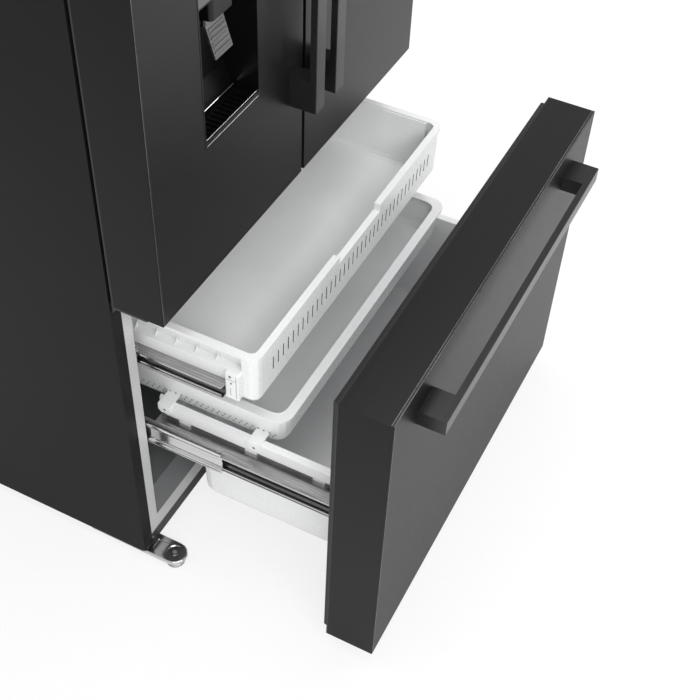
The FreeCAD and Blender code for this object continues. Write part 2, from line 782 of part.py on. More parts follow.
def evaporator_fan_motor():
    """Motor with its shaft, on three arms from the cover."""
    x, z = fan_place()
    y_sheet = y_evaporator_cover + cover_sheet
    y_motor = y_sheet + fan_gap + fan_depth + 3
    side = motor_size / 2
    parts = [block(x - side, x + side, y_motor, y_motor + motor_depth, z - side, z + side),
             cylinder(shaft_radius, fan_depth, (x, y_motor - fan_depth + 1.5, z), Vector(0, 1, 0))]
    for degrees in (90, 210, 330):
        arm = block(18, fan_radius + 10, y_motor + 2, y_motor + 6, z - 4, z + 4)
        leg = block(fan_radius + 4, fan_radius + 10, y_sheet, y_motor + 6, z - 4, z + 4)
        whole = joined(arm, leg)
        whole.rotate(Vector(0, 0, z), Vector(0, 1, 0), degrees)
        whole.translate(Vector(x, 0, 0))
        parts.append(whole)
    return joined(*parts)


pan_floor = foot_height + steel
y_machine_mid = (y_machine + y_back) / 2
compressor_x = -0.5 * half


def compressor():
    """Sealed can on its base plate with four rubber mounts."""
    x, y = compressor_x, y_machine_mid
    z = pan_floor + 22
    r = compressor_radius
    profile = ((0.8, 0), (1, 0.15), (1, 0.6), (0.86, 0.86), (0.45, 1))
    can = stacked([(z + rise * compressor_height, polygon(x, y, share * r, compressor_sides))
                   for share, rise in profile])
    reach = r + 4
    plate = block(x - reach, x + reach, y - reach + 12, y + reach - 12, z - 6, z + 4)
    mounts = [prism(polygon(x + i * (reach - 14), y + j * (reach - 26), 11, 8), 2, pan_floor, z - 6)
              for i in (-1, 1) for j in (-1, 1)]
    return joined(can, plate, *mounts)


def condenser_span():
    return 0.12 * half, 0.66 * half


def condenser_coil():
    """Finned block that stands on the pan beside its fan."""
    x0, x1 = condenser_span()
    y0, y1 = y_machine + 20, y_back - 40
    z0, z1 = pan_floor + 26, machine_top - 24
    legs = [block(x - 5, x + 5, y0, y1, pan_floor, z0 + 8) for x in (x0, x1)]
    return joined(*finned_block(x0, x1, y0, y1, z0, z1, 6), *legs)


def drain_pan():
    """Shallow tray under the condenser that catches defrost water."""
    x0, x1 = condenser_span()
    outer = block(x0 + 8, x1 - 8, y_machine + 26, y_back - 46, pan_floor, pan_floor + 20)
    inner = block(x0 + 10, x1 - 10, y_machine + 28, y_back - 48, pan_floor + 2, pan_floor + 21)
    return without(outer, inner)


def condenser_fan_place():
    return -0.02 * half, y_machine_mid, (pan_floor + machine_top) / 2


def condenser_fan():
    x, y, z = condenser_fan_place()
    rotor = fan_rotor(condenser_fan_radius, condenser_fan_depth, 6, 3 + running)
    rotor.rotate(Vector(0, 0, 0), Vector(0, 0, 1), 90)
    rotor.translate(Vector(x, y, z))
    return rotor


def condenser_fan_motor():
    """Motor and shaft on a strap that stands on the pan, on the compressor's side of the fan."""
    x, y, z = condenser_fan_place()
    shaft = cylinder(3, 44, (x - 48, y, z), Vector(1, 0, 0))
    side = motor_size / 2
    motor = block(x - 52, x - 26, y - side, y + side, z - side, z + side)
    strap = block(x - 46, x - 40, y - 20, y + 20, pan_floor, z)
    foot = block(x - 58, x - 28, y - 20, y + 20, pan_floor, pan_floor + 3)
    return joined(shaft, motor, strap, foot)


def machine_cover():
    """Rear cover of the machinery with rows of air slots."""
    inner = half - steel - 0.2
    body = block(-inner, inner, y_back - 5.5, y_back - 5.5 + sheet, foot_height + steel + 0.2,
                 machine_top - 2)
    slots = []
    columns = int(inner / louvre_length) // 2
    rows = int((machine_top - foot_height - 3 * louvre_pitch) / louvre_pitch) + 1
    for column in range(-columns, columns + 1):
        for row in range(rows):
            x = column * (louvre_length + 2 * louvre_pitch)
            z = foot_height + 1.5 * louvre_pitch + louvre_pitch * row
            slots.append(block(x - louvre_length / 2, x + louvre_length / 2, y_back - 7, y_back - 3,
                               z, z + louvre_height))
    return without(body, *slots)


# ---------------------------------------------------------------- telescopic slides
def outer_rail(z, height, length):
    """C rail against the liner's wall, on the left side."""
    x = -cavity_half
    y0 = y_cab + slide_setback
    body = block(x, x + slide_depth, y0, y0 + length, z - height / 2, z + height / 2)
    hollow = block(x + slide_steel, x + slide_depth + 1, y0 - 1, y0 + length + 1,
                   z - height / 2 + slide_steel, z + height / 2 - slide_steel)
    return without(body, hollow)


def middle_rail(z, height, race, y0, length):
    """Middle member: a web with a thick rolled ball race above and below."""
    x0 = -cavity_half + slide_steel + loose
    x1 = -cavity_half + slide_depth + 3
    top = height / 2 - slide_steel - loose
    body = block(x0, x1, y0, y0 + length, z - top, z + top)
    hollow = block(x0 + slide_steel, x1 + 1, y0 - 1, y0 + length + 1, z - top + race, z + top - race)
    body = without(body, hollow)
    return body.makeChamfer(slide_round, [e for e in body.Edges if along(e, 1) and
                                          e.CenterOfMass.x > x1 - 0.1])


def inner_rail(z, height, race, y0, length, flange_reach):
    """Inner member: a C that faces the wall, with a flange that carries the load."""
    x0 = -cavity_half + 2 * (slide_steel + loose) + 1
    x1 = -cavity_half + slide_depth + 6
    top = height / 2 - slide_steel - loose - race - loose
    body = block(x0, x1, y0, y0 + length, z - top, z + top)
    hollow = block(x0 - 1, x1 - slide_steel, y0 - 1, y0 + length + 1, z - top + slide_steel,
                   z + top - slide_steel)
    flange = block(x1 - slide_steel, x1 + flange_reach, y0, y0 + length, z + top - slide_steel, z + top)
    return joined(without(body, hollow), flange)


def inner_rail_top(z, height, race):
    return z + height / 2 - slide_steel - 2 * loose - race


drawer_inner_length = drawer_slide_length - 6
y_drawer_inner = y_drawer_back + 8.0
tray_travel = tray_travel_ratio * drawer_open
y_tray_front = y_cab - tray_front_reach
y_tray_inner = y_tray_front + tray_nose + clip_length - 4


def drawer_outer_rails():
    return pair(outer_rail(drawer_slide_z, drawer_slide_height, drawer_slide_length))


def tray_outer_rails():
    return pair(outer_rail(tray_slide_z, tray_slide_height, tray_slide_length))


def drawer_middle_rails():
    """Half the drawer's travel, so half out of the outer rails."""
    length = drawer_slide_length - drawer_middle_short
    y0 = y_cab + slide_setback + drawer_slide_length - length - drawer_open / 2
    return pair(middle_rail(drawer_slide_z, drawer_slide_height, drawer_slide_race, y0, length))


def tray_middle_rails():
    length = tray_slide_length - tray_middle_short
    y0 = y_cab + slide_setback + tray_slide_length - length - tray_travel / 2
    return pair(middle_rail(tray_slide_z, tray_slide_height, tray_slide_race, y0, length))


def drawer_inner_rails():
    """Inner members with an end plate that is screwed to the inner drawer front."""
    rail = inner_rail(drawer_slide_z, drawer_slide_height, drawer_slide_race, y_drawer_inner,
                      drawer_inner_length, drawer_flange)
    x1 = -cavity_half + slide_depth + 6
    tab = block(-cavity_half + tab_inset, x1 + tab_reach, y_drawer_inner, y_drawer_inner + 2 * slide_steel,
                drawer_slide_z - tab_drop,
                inner_rail_top(drawer_slide_z, drawer_slide_height, drawer_slide_race))
    return pair(joined(rail, tab))


def tray_inner_rails():
    length = y_cab + slide_setback + tray_slide_length - 14 - tray_travel - y_tray_inner
    return pair(inner_rail(tray_slide_z, tray_slide_height, tray_slide_race, y_tray_inner, length,
                           tray_flange))


# ---------------------------------------------------------------- trays and basket
def upper_tray():
    """White tray with a slotted front, a lowered grip in its rim and a ledge over each slide."""
    z1 = tray_rim_top
    z0 = z1 - tray_height
    y0, y1 = y_tray_front, y_tray_front + tray_depth
    wall_half = tray_half - 4

    def shape(shrink, extra):
        nose_top = (-wall_half + shrink, wall_half - shrink, y0 + 3 + shrink, y0 + 3 * tray_nose)
        nose_low = (-wall_half + nose_taper + shrink, wall_half - nose_taper - shrink,
                    y0 + 3 + nose_taper + shrink, y0 + 3 * tray_nose)
        rest_top = (-wall_half + tray_step + shrink, wall_half - tray_step - shrink, y0 + tray_nose - 12,
                    y1 - 4 - shrink)
        rest_low = (-wall_half + tray_step + tray_taper + shrink, wall_half - tray_step - tray_taper - shrink,
                    y0 + tray_nose - 12, y1 - 14 - shrink)
        corner = tray_corner - shrink
        nose = tub(nose_top, nose_low, z0 + shrink, z1 + extra, corner, 10)
        behind = block(-tray_half, tray_half, y0 + tray_nose - shrink, y1, z0 - 1, z1 + 2)
        return joined(without(nose, behind), tub(rest_top, rest_low, z0 + shrink, z1 + extra, corner, 10))
    edge = 2.5
    rim = slab(-tray_half, tray_half, y0, y1, z1 - tray_rim_lip, z1, tray_corner + 4)
    under = slab(-tray_half + edge, tray_half - edge, y0 + edge, y1 - edge,
                 z1 - tray_rim_lip - 1, z1 - edge, tray_corner + 4 - edge)
    rim = without(rim, under)
    mouth = slab(-tray_half + tray_rim_width, tray_half - tray_rim_width, y0 + tray_rim_width,
                 y1 - tray_rim_width, z1 - tray_wall - 1, z1 + 1, tray_corner - 4)
    outer = joined(shape(0, 0), rim)
    ledges = tray_ledges(z1, y1)
    grip = block(-grip_width / 2, grip_width / 2, y0 - 1, y0 + tray_rim_width + 4, z1 - grip_drop, z1 + 1)
    grip_rim = block(-grip_width / 2 - 2, grip_width / 2 + 2, y0, y0 + tray_rim_width,
                     z1 - grip_drop - 3, z1 - grip_drop)
    grip_ends = [block(min(x, x + 2 * x / abs(x)), max(x, x + 2 * x / abs(x)), y0, y0 + tray_rim_width,
                       z1 - grip_drop - 3, z1) for x in (-grip_width / 2, grip_width / 2)]
    body = without(joined(outer, *ledges), shape(tray_wall, -tray_wall), mouth, grip)
    body = joined(body, grip_rim, *grip_ends)
    return without(body, *tray_slots(z1, y0))


def tray_ledges(z1, y1):
    """Side ledges that rest on the slides, with a clip round the front end of each."""
    rail_top = inner_rail_top(tray_slide_z, tray_slide_height, tray_slide_race)
    wall = tray_half - 4 - tray_step - 1
    top = z1 - ledge_top_drop
    ledge = block(-tray_half - 2, -wall + 8, y_tray_inner - 1, y1 - 10, rail_top, top)
    inboard = -cavity_half + slide_depth + 3 + loose
    clip = block(inboard, -wall + 12, y_tray_inner - clip_length, y_tray_inner, top - clip_height, top)
    clip = round_edges(clip, 4, lambda e: along(e, 0) and e.CenterOfMass.y < y_tray_inner - 1)
    return [ledge, mirrored(ledge), clip, mirrored(clip)]


def tray_slots(z1, y0):
    """Row of upright slots through the front wall."""
    reach = tray_half - slot_margin
    count = int(2 * reach / slot_pitch) + 1
    start = -(count - 1) * slot_pitch / 2
    top = z1 - slot_drop
    return [block(start + i * slot_pitch - slot_width / 2, start + i * slot_pitch + slot_width / 2,
                  y0 - 1, y0 + 24, top - slot_height, top) for i in range(count)]


def middle_tray():
    """Shallow tray with two hooks on each side that ride on the basket's rim."""
    z1 = middle_rim_top
    z0 = z1 - middle_height
    y0 = y_cab - middle_reach
    y1 = y0 + middle_depth
    body_half = middle_half - 5
    top = (-body_half, body_half, y0 + 5, y1 - 5)
    low = (-body_half + middle_taper, body_half - middle_taper, y0 + 5 + middle_taper, y1 - 5 - middle_taper)
    outer = tub(top, low, z0, z1, middle_corner, 18)
    rim = slab(-middle_half, middle_half, y0, y1, z1 - 5, z1, middle_corner + 4)
    inner = tub(inset_box(top, tray_wall), inset_box(low, tray_wall), z0 + tray_wall, z1 - 2,
                middle_corner - 2, 16)
    mouth_box = inset_box((-middle_half, middle_half, y0, y1), middle_rim)
    mouth = slab(*mouth_box, z1 - 6, z1 + 2, middle_corner - 4)
    body = without(joined(outer, rim), inner, mouth)
    hooks = []
    for y in (y0 + hook_front, y0 + hook_front + hook_pitch):
        for side in (-1, 1):
            hooks.append(tray_hook(side, y))
    return joined(body, *hooks)


def tray_hook(side, y):
    """Arm over the basket's rim and a lip down its outside, with a small hole."""
    z0 = basket_rim_top + loose
    outside = basket_half + loose
    inside = middle_half - 5 - middle_taper
    arm = block(inside, outside + hook_thickness, y - hook_width / 2, y + hook_width / 2, z0,
                z0 + hook_thickness)
    lip = block(outside, outside + hook_thickness, y - hook_width / 2, y + hook_width / 2, z0 - 18,
                z0 + hook_thickness)
    lip = lip.makeChamfer(6, [e for e in lip.Edges if along(e, 0) and e.CenterOfMass.z < z0 - 17])
    hole = prism(polygon(y, z0 - 9, hook_hole, 8), 0, outside - 1, outside + hook_thickness + 1)
    hook = joined(arm, without(lip, hole))
    return hook if side > 0 else mirrored(hook)


def lower_basket():
    """Deep basket with a turned rim and an upper floor over the compressor step.

    Its rear wall is cut down so that the middle tray passes over it.
    """
    z1 = basket_rim_top
    y0 = y_drawer_back + 8.0 + basket_clear
    wall_half = basket_half - basket_rim_width + basket_wall
    side_low = wall_half - basket_taper
    y1 = y0 + basket_upper_depth

    def shape(shrink, extra):
        upper = (-wall_half + shrink, wall_half - shrink, y0 + 2 + shrink, y1 - 2 - shrink)
        mid = (-wall_half + 3 + shrink, wall_half - 3 - shrink, y0 + 3 + shrink, y1 - 5 - shrink)
        deep = (-wall_half + 3 + shrink, wall_half - 3 - shrink, y0 + 3 + shrink, y0 + basket_depth - shrink)
        low = (-side_low + shrink, side_low - shrink, y0 + 8 + shrink, y0 + basket_depth - 6 - shrink)
        return joined(tub(upper, mid, basket_step + shrink, z1 + extra, basket_corner, 10),
                      tub(deep, low, basket_bottom + shrink, basket_step + 30, basket_corner, 12))
    edge = 2.5
    rim = slab(-basket_half, basket_half, y0, y1, z1 - basket_rim_lip, z1, basket_corner + 4)
    under = slab(-basket_half + edge, basket_half - edge, y0 + 1, y1 - edge, z1 - basket_rim_lip - 1,
                 z1 - edge, basket_corner + 4 - edge)
    rim = without(rim, under)
    rail_top = inner_rail_top(drawer_slide_z, drawer_slide_height, drawer_slide_race)
    seats = []
    for y in (y0 + 60, y0 + basket_upper_depth / 2, y0 + basket_upper_depth - 60):
        seat = block(-basket_half + 4, -wall_half + 2, y - 12, y + 12, rail_top, z1 - 2)
        seats += [seat, mirrored(seat)]
    gate = block(-middle_half, middle_half, y1 - 40, y1 + 1, middle_rim_top - middle_height - 8, z1 + 1)
    return without(joined(shape(0, 0), rim, *seats), shape(basket_wall, 2), gate)


# ---------------------------------------------------------------- doors and drawer front
def steel_pan(x0, x1, y0, z0, z1):
    """Folded steel face, open at the back."""
    depth = door_depth - door_edge
    body = block(x0, x1, y0, y0 + depth, z0, z1)
    body = body.makeChamfer(1, [e for e in body.Edges if along(e, 2) and e.CenterOfMass.y < y0 + 1])
    hollow = block(x0 + steel, x1 - steel, y0 + steel, y0 + depth + 1, z0 + steel, z1 - steel)
    return without(body, hollow)


def pin_holes():
    """Holes for the left door's hinge pins."""
    r = pin_radius + running
    return (cylinder(r, pin_depth + 3, (-pin_x, pin_y, door_top - pin_depth - 2)),
            cylinder(r, pin_depth + 3, (-pin_x, pin_y, door_bottom - 1)))


def pin_windows():
    """Larger openings in the left door's steel, clear of the hinge pins."""
    outline = polygon(-pin_x, pin_y, pin_radius + 3, 8)
    return (prism(outline, 2, door_top - steel - 1, door_top + 1),
            prism(outline, 2, door_bottom - 1, door_bottom + steel + 1))


def dispenser_box(grow):
    """The opening in the left door for the dispenser housing."""
    w = recess_width / 2 + housing_wall + grow
    z0 = door_bottom + recess_bottom - recess_lip - housing_wall - grow
    z1 = door_bottom + recess_bottom + recess_height + panel_height + 2 * housing_wall + grow
    return dispenser_x - w, dispenser_x + w, z0, z1


def left_door_skin():
    x0, x1, z0, z1 = dispenser_box(0)
    window = block(x0, x1, y_door - 1, y_door + steel + 1, z0, z1)
    return without(steel_pan(-half, -free_edge, y_door, door_bottom, door_top), window, *pin_windows())


def right_door_skin():
    pan = steel_pan(-half, -free_edge, y_door, door_bottom, door_top)
    return mirrored(without(pan, *pin_windows()))


def door_core():
    """Left inner door with its foam: filled pan, recessed middle and raised border."""
    y0, y1 = y_door + steel, y_door + door_depth
    fill = block(-half + steel, -free_edge - steel, y0, y1 - door_edge, door_bottom + steel, door_top - steel)
    flange = block(-half, -free_edge, y1 - door_edge, y1, door_bottom, door_top)
    x0, x1 = -half + dyke_hinge_inset, -free_edge - dyke_free_inset
    z0, z1 = door_bottom + dyke_end_inset, door_top - dyke_end_inset
    dyke = block(x0, x1, y1 - 1, y1 + dyke_height, z0, z1)
    dyke = dyke.makeChamfer(5, [e for e in dyke.Edges if e.CenterOfMass.y > y1 + dyke_height - 1])
    recess = block(x0 + dyke_width, x1 - dyke_width, y_door + door_panel, y1 + dyke_height + 1,
                   z0 + dyke_width, z1 - dyke_width)
    return without(joined(fill, flange, dyke), recess, *pin_holes())


def bin_walls():
    """Left door's recess, side to side and front to back."""
    return (-half + dyke_hinge_inset + dyke_width, -free_edge - dyke_free_inset - dyke_width,
            y_door + door_panel, y_door + door_depth + bin_reach)


def bin_pegs(z):
    x0, x1, y0, y1 = bin_walls()
    y_end = y_door + door_depth + dyke_height - 12
    return [block(x0 - 1, x0 + bin_peg, y0 - 1, y_end, z - 8, z),
            block(x1 - bin_peg, x1 + 1, y0 - 1, y_end, z - 8, z)]


def door_bin(z):
    """Clear bin that stands on pegs in the left door."""
    x0, x1, y0, y1 = bin_walls()
    top = (x0 + 0.5, x1 - 0.5, y0 + 0.5, y1)
    low = (x0 + 3, x1 - 3, y0 + 0.5, y1 - 12)
    outer = tub(top, low, z, z + bin_height, 11, 8)
    inner = tub(inset_box(top, bin_wall), inset_box(low, bin_wall), z + bin_wall, z + bin_height + 1, 9, 7)
    return without(outer, inner)


def door_recess():
    """Lowest and highest level of the inner doors' recess."""
    return door_bottom + dyke_end_inset + dyke_width, door_top - dyke_end_inset - dyke_width


def bins_between(low, high):
    """Floors of the bins that share a height evenly."""
    count = int((high - low) / bin_pitch)
    return [low + bin_seat + i * (high - low) / count for i in range(count)]


def left_bins():
    """One bin under the dispenser and those that fit above the water tank."""
    low, high = door_recess()
    return [low + bin_seat] + bins_between(bulge_top() + tank_height + tank_room, high)


def right_bins():
    return bins_between(*door_recess())


def bulge_top():
    return door_bottom + recess_bottom + recess_height + bulge_margin


def tank_plan():
    return (dispenser_x - tank_half, dispenser_x + tank_half, y_door + door_panel + 1,
            y_door + door_depth + tank_reach)


def fold_axis():
    """Pivot of the folding centre strip, on the left door."""
    return -free_edge - dyke_free_inset + fold_thickness / 2 + 2, y_cab + loose + fold_thickness / 2


def fold_span():
    return door_bottom + dyke_end_inset + 4, door_top - dyke_end_inset - 14


def left_door_liner():
    """Inner door with the dispenser's bulge, pegs for the bins and ears for the folding strip."""
    x0, x1, z0, z1 = dispenser_box(0)
    y1 = y_door + door_depth + bulge_depth
    bulge = block(x0 - bulge_margin, x1 + bulge_margin, y_door + door_panel - 1, y1, z0 - bulge_margin,
                  bulge_top())
    pegs = [peg for z in left_bins() for peg in bin_pegs(z)]
    x, y = fold_axis()
    low, high = fold_span()
    edge = -free_edge - dyke_free_inset
    ears = [block(edge - 2, x + 9, y - 9, y + 9, z, z + 8) for z in (low - 8, high)]
    body = joined(door_core(), bulge, *pegs, *ears)
    pocket = block(x0, x1, y_door - 1, y_door + recess_depth + housing_wall, z0,
                   door_bottom + recess_bottom + recess_height + housing_wall)
    panel_pocket = block(x0, x1, y_door - 1, y_door + panel_thickness + 5, z0, z1)
    sockets = [cylinder(fold_pin + running, 10, (x, y, z)) for z in (low - 9, high - 1)]
    return without(body, pocket, panel_pocket, *sockets)


def right_door_liner():
    pegs = [peg for z in right_bins() for peg in bin_pegs(z)]
    return mirrored(joined(door_core(), *pegs))


def left_door_bins():
    return Part.makeCompound([door_bin(z) for z in left_bins()])


def right_door_bins():
    return Part.makeCompound([mirrored(door_bin(z)) for z in right_bins()])


def seal_ring(x0, x1, y, z0, z1):
    """Soft seal round the back of a door, just clear of the cabinet's face."""
    depth = seal_gap - loose
    outer = block(x0 + seal_inset, x1 - seal_inset, y, y + depth, z0 + seal_inset, z1 - seal_inset)
    inset = seal_inset + seal_width
    inner = block(x0 + inset, x1 - inset, y - 1, y + depth + 1, z0 + inset, z1 - inset)
    groove = without(block(x0 + seal_inset - 1, x1 - seal_inset + 1, y + 1.5, y + depth - 2,
                           z0 + seal_inset - 1, z1 - seal_inset + 1),
                     block(x0 + seal_inset + 3, x1 - seal_inset - 3, y, y + depth,
                           z0 + seal_inset + 3, z1 - seal_inset - 3))
    return without(outer, inner, groove)


def left_door_gasket():
    return seal_ring(-half, -free_edge, y_door + door_depth, door_bottom, door_top)


def right_door_gasket():
    return mirrored(left_door_gasket())


def handle(length):
    """Flat bar on two posts, lying along X at the origin, with its posts against Y = 0."""
    bar = block(-length / 2, length / 2, -handle_reach, -handle_reach + handle_bar, 0, handle_width)
    posts = [block(side * length / 2 - (handle_post if side > 0 else 0),
                   side * length / 2 + (0 if side > 0 else handle_post),
                   -handle_reach + 1, 0, 0, handle_width) for side in (-1, 1)]
    whole = joined(bar, *posts)
    return round_edges(whole, 1.2, lambda e: along(e, 0) and e.CenterOfMass.y < -handle_reach + 0.5)


def left_door_handle():
    body = handle(handle_length)
    body.rotate(Vector(0, 0, 0), Vector(0, 1, 0), 90)
    body.translate(Vector(-free_edge - door_handle_inset - handle_width, y_door,
                          door_bottom + door_handle_bottom + handle_length / 2))
    return body


def right_door_handle():
    return mirrored(left_door_handle())


def drawer_handle():
    body = handle(handle_length)
    body.translate(Vector(0, y_drawer, drawer_top - drawer_handle_drop - handle_width))
    return body


def drawer_front_skin():
    return steel_pan(-half, half, y_drawer, drawer_bottom, drawer_top)


def drawer_front_liner():
    """Inner drawer front with its foam and a low raised panel."""
    y0, y1 = y_drawer + steel, y_drawer_back
    fill = block(-half + steel, half - steel, y0, y1 - door_edge, drawer_bottom + steel, drawer_top - steel)
    flange = block(-half, half, y1 - door_edge, y1, drawer_bottom, drawer_top)
    edge = seal_inset + seal_width + 26
    panel = block(-half + edge, half - edge, y1 - 1, y1 + 8, sill_height + 12, drawer_top - edge)
    panel = panel.makeChamfer(5, [e for e in panel.Edges if e.CenterOfMass.y > y1 + 7])
    return joined(fill, flange, panel)


def drawer_gasket():
    return seal_ring(-half, half, y_drawer_back, drawer_bottom, drawer_top)


# ---------------------------------------------------------------- dispenser
def nozzle_span():
    return dispenser_x - nozzle_width / 2, dispenser_x + nozzle_width / 2


def paddle_axis():
    """Pivot of the paddle: just under the nozzle block."""
    z = door_bottom + recess_bottom + recess_height - nozzle_height - paddle_pin - 3
    return y_door + nozzle_setback + 20, z


def dispenser_housing():
    """Recess moulding with a leaning back wall, the nozzle block and the paddle's ears."""
    x0, x1, z0, z1 = dispenser_box(0)
    floor = door_bottom + recess_bottom
    ceiling = floor + recess_height
    body = block(x0, x1, y_door - 0.5, y_door + recess_depth + housing_wall, z0, ceiling + housing_wall)
    face = block(x0, x1, y_door - 0.5, y_door + panel_thickness + 5, z0, z1)
    lip = y_door + lip_wall
    low = floor - recess_lip
    points = [(y_door - 2, floor), (lip, floor), (lip, low), (y_door + recess_lower_depth, low),
              (y_door + recess_depth, low + recess_slope), (y_door + recess_depth, ceiling),
              (y_door - 2, ceiling)]
    cavity = prism(points, 0, dispenser_x - recess_width / 2, dispenser_x + recess_width / 2)
    panel = block(dispenser_x - recess_width / 2, dispenser_x + recess_width / 2, y_door - 1,
                  y_door + panel_thickness, ceiling + housing_wall, z1 - housing_wall)
    shell = without(joined(body, face), cavity, panel)
    n0, n1 = nozzle_span()
    nozzle = block(n0, n1, y_door + nozzle_setback, y_door + recess_depth + 1,
                   ceiling - nozzle_height, ceiling + 1)
    nozzle = round_edges(nozzle, 8, lambda e: along(e, 2) and e.CenterOfMass.y < y_door + nozzle_setback + 1)
    y, z = paddle_axis()
    ears = [block(a, a + paddle_ear, y - 6, y + 6, z - 5, ceiling - nozzle_height + 1)
            for a in (n0, n1 - paddle_ear)]
    spout = prism(polygon(dispenser_x, y_door + nozzle_setback + 34, 7, 8), 2, ceiling - nozzle_height - 8,
                  ceiling - nozzle_height + 1)
    holes = cylinder(paddle_pin + running, nozzle_width + 2, (n0 - 1, y, z), Vector(1, 0, 0))
    return without(joined(shell, nozzle, spout, *ears), holes)


def dispenser_paddle():
    """Ribbed lever that is pressed with a glass, on its pivot pin."""
    y, z = paddle_axis()
    n0, n1 = nozzle_span()
    w = min(paddle_width, nozzle_width - 2 * paddle_ear - 1) / 2
    plate = block(dispenser_x - w, dispenser_x + w, y - paddle_thickness / 2, y + paddle_thickness / 2,
                  z - paddle_length, z)
    ribs = [block(dispenser_x - w + 4, dispenser_x + w - 4, y - paddle_thickness / 2 - 0.8,
                  y - paddle_thickness / 2 + 0.5, z - paddle_length + 8 + 7 * i,
                  z - paddle_length + 11 + 7 * i) for i in range(6)]
    lever = joined(plate, *ribs)
    lever.rotate(Vector(0, y, z), Vector(1, 0, 0), -paddle_lean)
    pin = cylinder(paddle_pin, nozzle_width - 1, (n0 + 0.5, y, z), Vector(1, 0, 0))
    return joined(lever, pin)


def dispenser_panel():
    """Glass control panel above the recess."""
    x0, x1, z0, z1 = dispenser_box(0)
    ceiling = door_bottom + recess_bottom + recess_height
    return block(dispenser_x - recess_width / 2, dispenser_x + recess_width / 2, y_door - 0.5,
                 y_door + panel_thickness, ceiling + housing_wall, z1 - housing_wall)


def drip_grille():
    """Slotted plate on the recess floor."""
    floor = door_bottom + recess_bottom - recess_lip
    w = recess_width / 2 - 2
    plate = block(dispenser_x - w, dispenser_x + w, y_door + lip_wall + 1, y_door + recess_lower_depth - 2,
                  floor, floor + 5)
    slots = [block(dispenser_x - w + 8 + 11 * i, dispenser_x - w + 13 + 11 * i, y_door + lip_wall + 6,
                   y_door + recess_lower_depth - 8, floor - 1, floor + 6)
             for i in range(int((2 * w - 14) / 11))]
    return without(plate, *slots)


def water_tank():
    """Tank inside the left door, behind and above the dispenser, with its cap."""
    x0, x1, y0, y1 = tank_plan()
    z0 = bulge_top()
    z1 = z0 + tank_height
    z_lid = z1 - tank_lid - 2
    body = tub((x0, x1, y0, y1), inset_box((x0, x1, y0, y1), tank_wall), z0, z_lid, tank_corner, small_round)
    inner = tub(inset_box((x0, x1, y0, y1), tank_wall), inset_box((x0, x1, y0, y1), 2 * tank_wall),
                z0 + tank_wall, z_lid - tank_wall, tank_corner - 2, small_round - 1)
    lid = slab(x0 - 2, x1 + 2, y0, y1 + 2, z_lid, z_lid + tank_lid, tank_corner + 1)
    cap = prism(polygon(dispenser_x, (y0 + y1) / 2, tank_cap, 12), 2, z_lid + tank_lid - 2,
                z_lid + 2 * tank_lid)
    return without(joined(body, lid, cap), inner)


def folding_mullion():
    """Strip that closes the gap between the doors, drawn folded back beside the left door's border."""
    x, y = fold_axis()
    low, high = fold_span()
    t = fold_thickness / 2
    bar = block(x + 4, x + fold_width, y - t, y + t, low + loose, high - loose)
    bar = bar.makeChamfer(2, [e for e in bar.Edges if along(e, 2)])
    knuckle = block(x - t / 2, x + t, y - t / 2, y + t / 2, low + loose, high - loose)
    pins = cylinder(fold_pin, high - low + 14, (x, y, low - 7))
    body = joined(bar, knuckle, pins)
    body.rotate(Vector(x, y, 0), Vector(0, 0, 1), 90)
    return body


# ---------------------------------------------------------------- every sub-part, by name
SUBPARTS = {
    "outer_shell": outer_shell, "back_panel": back_panel, "base_pan": base_pan,
    "insulation_foam": insulation_foam, "fridge_liner": fridge_liner, "freezer_liner": freezer_liner,
    "center_rail": center_rail, "top_hinges": top_hinges, "hinge_covers": hinge_covers,
    "middle_hinges": middle_hinges, "foot_brackets": foot_brackets, "rear_rollers": rear_rollers,
    "left_leveling_foot": lambda: leveling_foot(-1), "right_leveling_foot": lambda: leveling_foot(1),
    "shelf_frames": shelf_frames, "shelf_panes": shelf_panes, "crisper_cover": crisper_cover,
    "left_crisper": lambda: crisper(-1), "right_crisper": lambda: crisper(1),
    "air_duct_cover": air_duct_cover, "ceiling_light_lens": ceiling_light_lens,
    "evaporator_cover": evaporator_cover, "evaporator_coil": evaporator_coil,
    "evaporator_fan": evaporator_fan, "evaporator_fan_motor": evaporator_fan_motor,
    "compressor": compressor, "condenser_coil": condenser_coil, "condenser_fan": condenser_fan,
    "condenser_fan_motor": condenser_fan_motor, "drain_pan": drain_pan, "machine_cover": machine_cover,
    "drawer_outer_rails": drawer_outer_rails, "drawer_middle_rails": drawer_middle_rails,
    "drawer_inner_rails": drawer_inner_rails, "tray_outer_rails": tray_outer_rails,
    "tray_middle_rails": tray_middle_rails, "tray_inner_rails": tray_inner_rails,
    "upper_tray": upper_tray, "middle_tray": middle_tray, "lower_basket": lower_basket,
    "left_door_skin": left_door_skin, "left_door_liner": left_door_liner,
    "left_door_gasket": left_door_gasket, "left_door_handle": left_door_handle,
    "left_door_bins": left_door_bins, "dispenser_housing": dispenser_housing,
    "dispenser_panel": dispenser_panel, "dispenser_paddle": dispenser_paddle,
    "drip_grille": drip_grille, "water_tank": water_tank, "folding_mullion": folding_mullion,
    "right_door_skin": right_door_skin, "right_door_liner": right_door_liner,
    "right_door_gasket": right_door_gasket, "right_door_handle": right_door_handle,
    "right_door_bins": right_door_bins, "drawer_front_skin": drawer_front_skin,
    "drawer_front_liner": drawer_front_liner, "drawer_gasket": drawer_gasket,
    "drawer_handle": drawer_handle,
}


